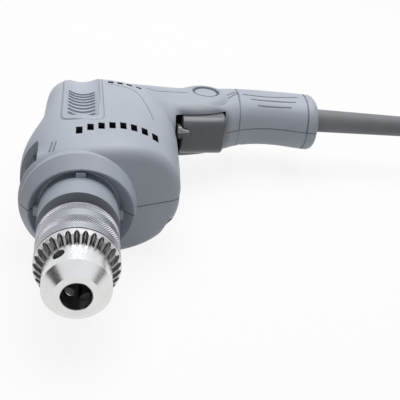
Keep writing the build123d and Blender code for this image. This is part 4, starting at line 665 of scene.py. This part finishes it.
def lowered(place):
    """A point moved down to the top of the CAD box, but for a hair, where it stands above it."""
    return Vector((place.x, place.y, min(place.z, highest_z)))


# Half a bead's section, as shares of its width and height, and how fast its ends rise
half_bead = (-0.5, -0.3), (-0.44, 0.45), (-0.25, 0.88)
bead_section = [*half_bead, (0, 1), *((-aside, height) for aside, height in reversed(half_bead))]
bead_end_height, bead_end_rise = 0.35, 0.3


def beads(name, runs, made, width, height):
    """Raised beads along runs of places on a shell, each with the direction out of it."""
    mesh = bmesh.new()
    for spots in runs:
        last = len(spots) - 1
        loops = []
        for index, (place, out) in enumerate(spots):
            ahead = spots[min(index + 1, last)][0] - spots[max(index - 1, 0)][0]
            side = out.cross(ahead).normalized()
            lift = height * min(1, bead_end_height + bead_end_rise * min(index, last - index))
            loop = []
            for aside, rise in bead_section:
                spot = place + side * (width * MM * aside) + out * (lift * MM * rise)
                loop.append(mesh.verts.new(lowered(spot)))
            loops.append(loop)
        bridge(mesh, loops, closed=False)
        cap_ends(mesh, loops)
    piece(name, mesh, "housing", "housing", made)


def moulding(name, paths, made, width, height):
    """Raised beads along x, y paths on the left shell."""
    runs = []
    for points in paths:
        spots = [on_shell(x, y) for x, y in smooth_path(points)]
        runs.append([spot for spot in spots if spot[0] is not None])
    beads(name, runs, made, width, height)


def with_mirror(points):
    """A path that ends at x = 0, followed by its mirror image."""
    return points + [(-x, y) for x, y in reversed(points[:-1])]


rest_rim = [(-11.2, 141), (-10.9, 110), (-10.9, 80), (-10.9, 62.5), (-10.0, 58.2), (-7.0, 56.6), (0, 56.4)]
rest_line = [(-12.3, 141), (-12.1, 110), (-12.1, 80), (-12.1, 62.0), (-10.9, 57.2), (-7.4, 55.4), (0, 55.2)]
panel_paths = [
    [(14, 124.5), (25.5, 121.2), (31.7, 116), (35, 107.9), (38.2, 91.8), (40.7, 76.5), (41.6, 71)],
    [(42, 138), (49, 137), (60, 142), (71.5, 147)],
]
grip_paths = [
    [(116, 150.7), (132, 151.3), (148.5, 150.6)],
    [(121, 146.4), (133, 146.9), (145, 146.5)],
    [(111, 156), (126, 155.6), (151, 157.2)],
    [(95.8, 146), (100.4, 152.5), (106.2, 159)],
    [(99.0, 145.9), (103.2, 151.6), (108.6, 158.9)],
]
mark_paths = [[(-16.9, 23.5), (-15.7, 33.5)], [(-14.9, 23), (-13.7, 32.5)]]
moulding("finger_rest_rim", [with_mirror(rest_rim)], housing_plastic, width=1.5, height=0.5)
# The finger rest line, the panel lines, the grip lines and the drilling mark are painted shade, as of creases
# and grooves
moulding("finger_rest_line", [with_mirror(rest_line)], crease_shade_plastic, width=0.6, height=0.16)
moulding("panel_lines", panel_paths, crease_shade_plastic, width=0.8, height=0.22)
moulding("grip_lines", grip_paths, groove_shade_plastic, width=1.2, height=0.25)
moulding("drilling_mark", mark_paths, groove_shade_plastic, width=1.1, height=0.3)

# Parting line of the shells, where it faces the front, broken where the shell steps back
parting_spans = (-32.5, -22.6), (22.6, 57.0), (99.0, 162.0)
parting_step, parting_probe_y, parting_probe_z = 0.5, -100.0, 0.3
largest_step_back, fewest_spots = 2.0, 4
runs = []
for start_x, end_x in parting_spans:
    runs.append([])
    count = round((end_x - start_x) / parting_step)
    for step in range(count + 1):
        x = start_x + (end_x - start_x) * step / count
        probe = metres(x, parting_probe_y, parting_probe_z)
        place, out, _, _ = shell_tree.ray_cast(probe, Vector((0, 1, 0)))
        if place is None or (runs[-1] and abs(place.y - runs[-1][-1][0].y) > largest_step_back * MM):
            runs.append([])
        if place is not None:
            runs[-1].append((Vector((place.x, place.y, 0)), Vector((out.x, out.y, 0)).normalized()))
long_runs = [run for run in runs if len(run) >= fewest_spots]
beads("parting_line", long_runs, seam_plastic, width=0.6, height=0.1)

# Faint lines of painted shade in the two grooves round the handle, over its top and its front
handle_lines = (107.6, 157.6), (156.6, 158.6)
first_degree, last_degree, degree_step = 60, 180, 2
runs = []
for x, middle_y in handle_lines:
    spots = []
    for degree in range(first_degree, last_degree + 1, degree_step):
        away = Vector((0, math.cos(math.radians(degree)), math.sin(math.radians(degree))))
        place = shell_tree.ray_cast(metres(x, middle_y, 0) + far * MM * away, -away)[0]
        if place is not None:
            spots.append((place, away))
    runs.append(spots)
beads("handle_lines", runs, crease_shade_plastic, width=0.8, height=0.12)

# Soft mound round the lock button, longer to one side, that falls from the button's collar to the shell
lock_low, lock_high = box_mm("lock_button")
lock_x, lock_y = (lock_low[0] + lock_high[0]) / 2, (lock_low[1] + lock_high[1]) / 2
mound_steps, mound_sides = 9, 64
mound_inner, mound_reach, mound_lean, lean_angle = 11.4, 18.5, 2.5, math.radians(40)
collar_clear, mound_top_z, mound_edge_z, mound_sink = 12.2, 20.2, 20.3, 0.12
mesh = bmesh.new()
loops = []
for step in range(mound_steps + 1):
    share = step / mound_steps
    ease = (1 - share) ** 2 * (1 + 2 * share)
    loop = []
    for angle in circle(mound_sides):
        reach = mound_reach - mound_lean * math.cos(angle - lean_angle)
        out = mound_inner + (reach - mound_inner) * share
        probe = max(out, collar_clear)
        shell_z = on_shell(lock_x + probe * math.cos(angle), lock_y + probe * math.sin(angle))[0].z / MM
        z = shell_z + max(0.0, mound_top_z - shell_z) * ease - mound_sink * share
        if step == 0:
            z = mound_edge_z
        loop.append(vertex(mesh, lock_x + out * math.cos(angle), lock_y + out * math.sin(angle), z))
    loops.append(loop)
bridge(mesh, loops)
piece("lock_mound", mesh, "housing", "housing", housing_plastic)

# Dark line round the lock button: its section's radii and heights
lock_line_section = (8.35, 20.2), (8.35, 20.43), (8.8, 20.46), (9.4, 20.43), (9.6, 20.2)
mesh = bmesh.new()
loops = []
for out, z in lock_line_section:
    loop = []
    for angle in circle(mound_sides):
        loop.append(vertex(mesh, lock_x + out * math.cos(angle), lock_y + out * math.sin(angle), z))
    loops.append(loop)
bridge(mesh, loops)
piece("lock_line", mesh, "housing", "housing", seam_plastic)

# Trigger with a rounded front and rounded ends, and its stem
(top_x, front_y, _), (bottom_x, stem_end_y, half_width) = box_mm("trigger")
trigger_slope, trigger_rear_y = 4.0, 131.0
lower_round, upper_round, arc_steps = 9.0, 6.5, 8
top_round, bottom_round, end_shares = 1.4, 2.4, (0, 0.15, 0.4, 0.7, 1)
stem_x, stem_radius, stem_overlap, stem_sides = 81.0, 3.0, 2.0, 24
crease_angle = math.radians(32)


def end_rows(end_x, inwards, end_round):
    """The x of each section at a rounded end, and how far the section is drawn in there."""
    rows = []
    for share in end_shares:
        inset = end_round * (1 - math.sqrt(1 - (1 - share) ** 2))
        rows.append((end_x + inwards * end_round * share, inset))
    return rows


mesh = bmesh.new()
loops = []
for x, inset in end_rows(top_x, 1, top_round) + end_rows(bottom_x, -1, bottom_round)[::-1]:
    face_y = front_y + trigger_slope * (x - top_x) / (bottom_x - top_x) + inset
    half = half_width - inset
    outline = [(trigger_rear_y, -half)]
    for side, front_round in ((-1, lower_round), (1, upper_round)):
        for step in range(arc_steps + 1):
            angle = math.pi / 2 * (step if side < 0 else arc_steps - step) / arc_steps
            y = face_y + front_round * (1 - math.sin(angle))
            outline.append((y, side * (half - front_round * (1 - math.cos(angle)))))
    outline.append((trigger_rear_y, half))
    loops.append([vertex(mesh, x, y, z) for y, z in outline])
bridge(mesh, loops)
cap_ends(mesh, loops)
loops = []
for y in (trigger_rear_y - stem_overlap, stem_end_y):
    loop = []
    for angle in circle(stem_sides):
        loop.append(vertex(mesh, stem_x + stem_radius * math.cos(angle), y, stem_radius * math.sin(angle)))
    loops.append(loop)
bridge(mesh, loops)
cap_ends(mesh, loops)
rounded = piece("rounded_trigger", mesh, "trigger_body", "black_plastic", trigger_plastic)
rounded.data.set_sharp_from_angle(angle=crease_angle)
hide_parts("trigger")

# Softened edges on the other moulded controls and the plug
soft_edge, edge_segments, sharp_angle = 0.7, 5, math.radians(35)
weld_gap, plane_angle = 0.01, math.radians(1)
for name in ("reversing_lever", "mode_lever", "plug_body"):
    joined = nodes[name].modifiers.new("joined_edges", "WELD")
    joined.merge_threshold = weld_gap * MM
    planes = nodes[name].modifiers.new("whole_planes", "DECIMATE")
    planes.decimate_type = "DISSOLVE"
    planes.angle_limit = plane_angle
    edges = nodes[name].modifiers.new("soft_edges", "BEVEL")
    edges.width = soft_edge * MM
    edges.segments = edge_segments
    edges.limit_method = "ANGLE"
    edges.angle_limit = sharp_angle


# Floor and world: both show white to the camera, in reflections and through glass, and light the drill less
def seen_share(tree):
    """1 on the rays that show the background: from the camera, in a reflection and through glass."""
    path = tree.nodes.new("ShaderNodeLightPath")
    reflected = maths(tree, "MAXIMUM", path.outputs["Is Camera Ray"], path.outputs["Is Glossy Ray"])
    return maths(tree, "MAXIMUM", reflected, path.outputs["Is Transmission Ray"])


floor_size_metres, floor_middle_metres = 8, (0.1, 0.3)
floor_tone, floor_seen_tone, floor_glow = 0.68, 0.85, 0.88
bpy.ops.mesh.primitive_plane_add(size=floor_size_metres, location=(*floor_middle_metres, floor_z * MM))
floor = bpy.context.object
floor.name = "floor"
floor_material = bpy.data.materials.new("floor")
floor_material.use_nodes = True
tree = floor_material.node_tree
tree.nodes.clear()
seen = seen_share(tree)
plain = tree.nodes.new("ShaderNodeBsdfDiffuse")
tree.links.new(map_range(tree, seen, 0.0, 1.0, floor_tone, floor_seen_tone), plain.inputs["Color"])
glow = node(tree, "ShaderNodeEmission", in_Color=(1, 1, 1, 1), in_Strength=1.0)
mix = tree.nodes.new("ShaderNodeMixShader")
tree.links.new(maths(tree, "MULTIPLY", seen, floor_glow), mix.inputs[0])
tree.links.new(plain.outputs[0], mix.inputs[1])
tree.links.new(glow.outputs[0], mix.inputs[2])
tree.links.new(mix.outputs[0], tree.nodes.new("ShaderNodeOutputMaterial").inputs[0])
paint(floor, floor_material)

world_strength, world_seen_strength = 0.13, 1.0
world = bpy.data.worlds.new("studio")
scene.world = world
world.use_nodes = True
tree = world.node_tree
background = tree.nodes["Background"]
background.inputs["Color"].default_value = (0.93, 0.95, 1.0, 1)
strength = map_range(tree, seen_share(tree), 0.0, 1.0, world_strength, world_seen_strength)
tree.links.new(strength, background.inputs["Strength"])


# Lamps, with places and sizes in metres
def lamp(name, place, target, size, watts):
    """A square lamp at a place that shines towards a target."""
    data = bpy.data.lights.new(name, "AREA")
    data.size = size
    data.energy = watts
    made = bpy.data.objects.new(name, data)
    scene.collection.objects.link(made)
    made.location = place
    made.rotation_euler = (Vector(target) - Vector(place)).to_track_quat("-Z", "Y").to_euler()


lamp("overhead", place=(0.1, 0.4, 1.1), target=(0.05, 0.1, 0), size=1.2, watts=16.6)
lamp("front_fill", place=(-0.2, -0.9, 0.3), target=(0.05, 0, 0), size=0.7, watts=0.8)

# Dark cards at both sides, out of view, that the chuck's steel reflects: place, depth and height in metres
card_cloth = material("card_cloth", (0.02, 0.02, 0.02), (0.03, 0.03, 0.03), (0.7, 0.8))
for name, place, depth, height in (
    ("left_card", (-0.6, -0.36, 0.18), 0.5, 0.36),
    ("right_card", (0.75, -0.28, 0.32), 0.3, 0.4),
):
    bpy.ops.mesh.primitive_plane_add(size=1, location=place, rotation=(0, math.pi / 2, 0))
    card = bpy.context.object
    card.name = name
    card.scale = (height, depth, 1)
    card.visible_camera = False
    paint(card, card_cloth)

scene.view_settings.view_transform = "Standard"
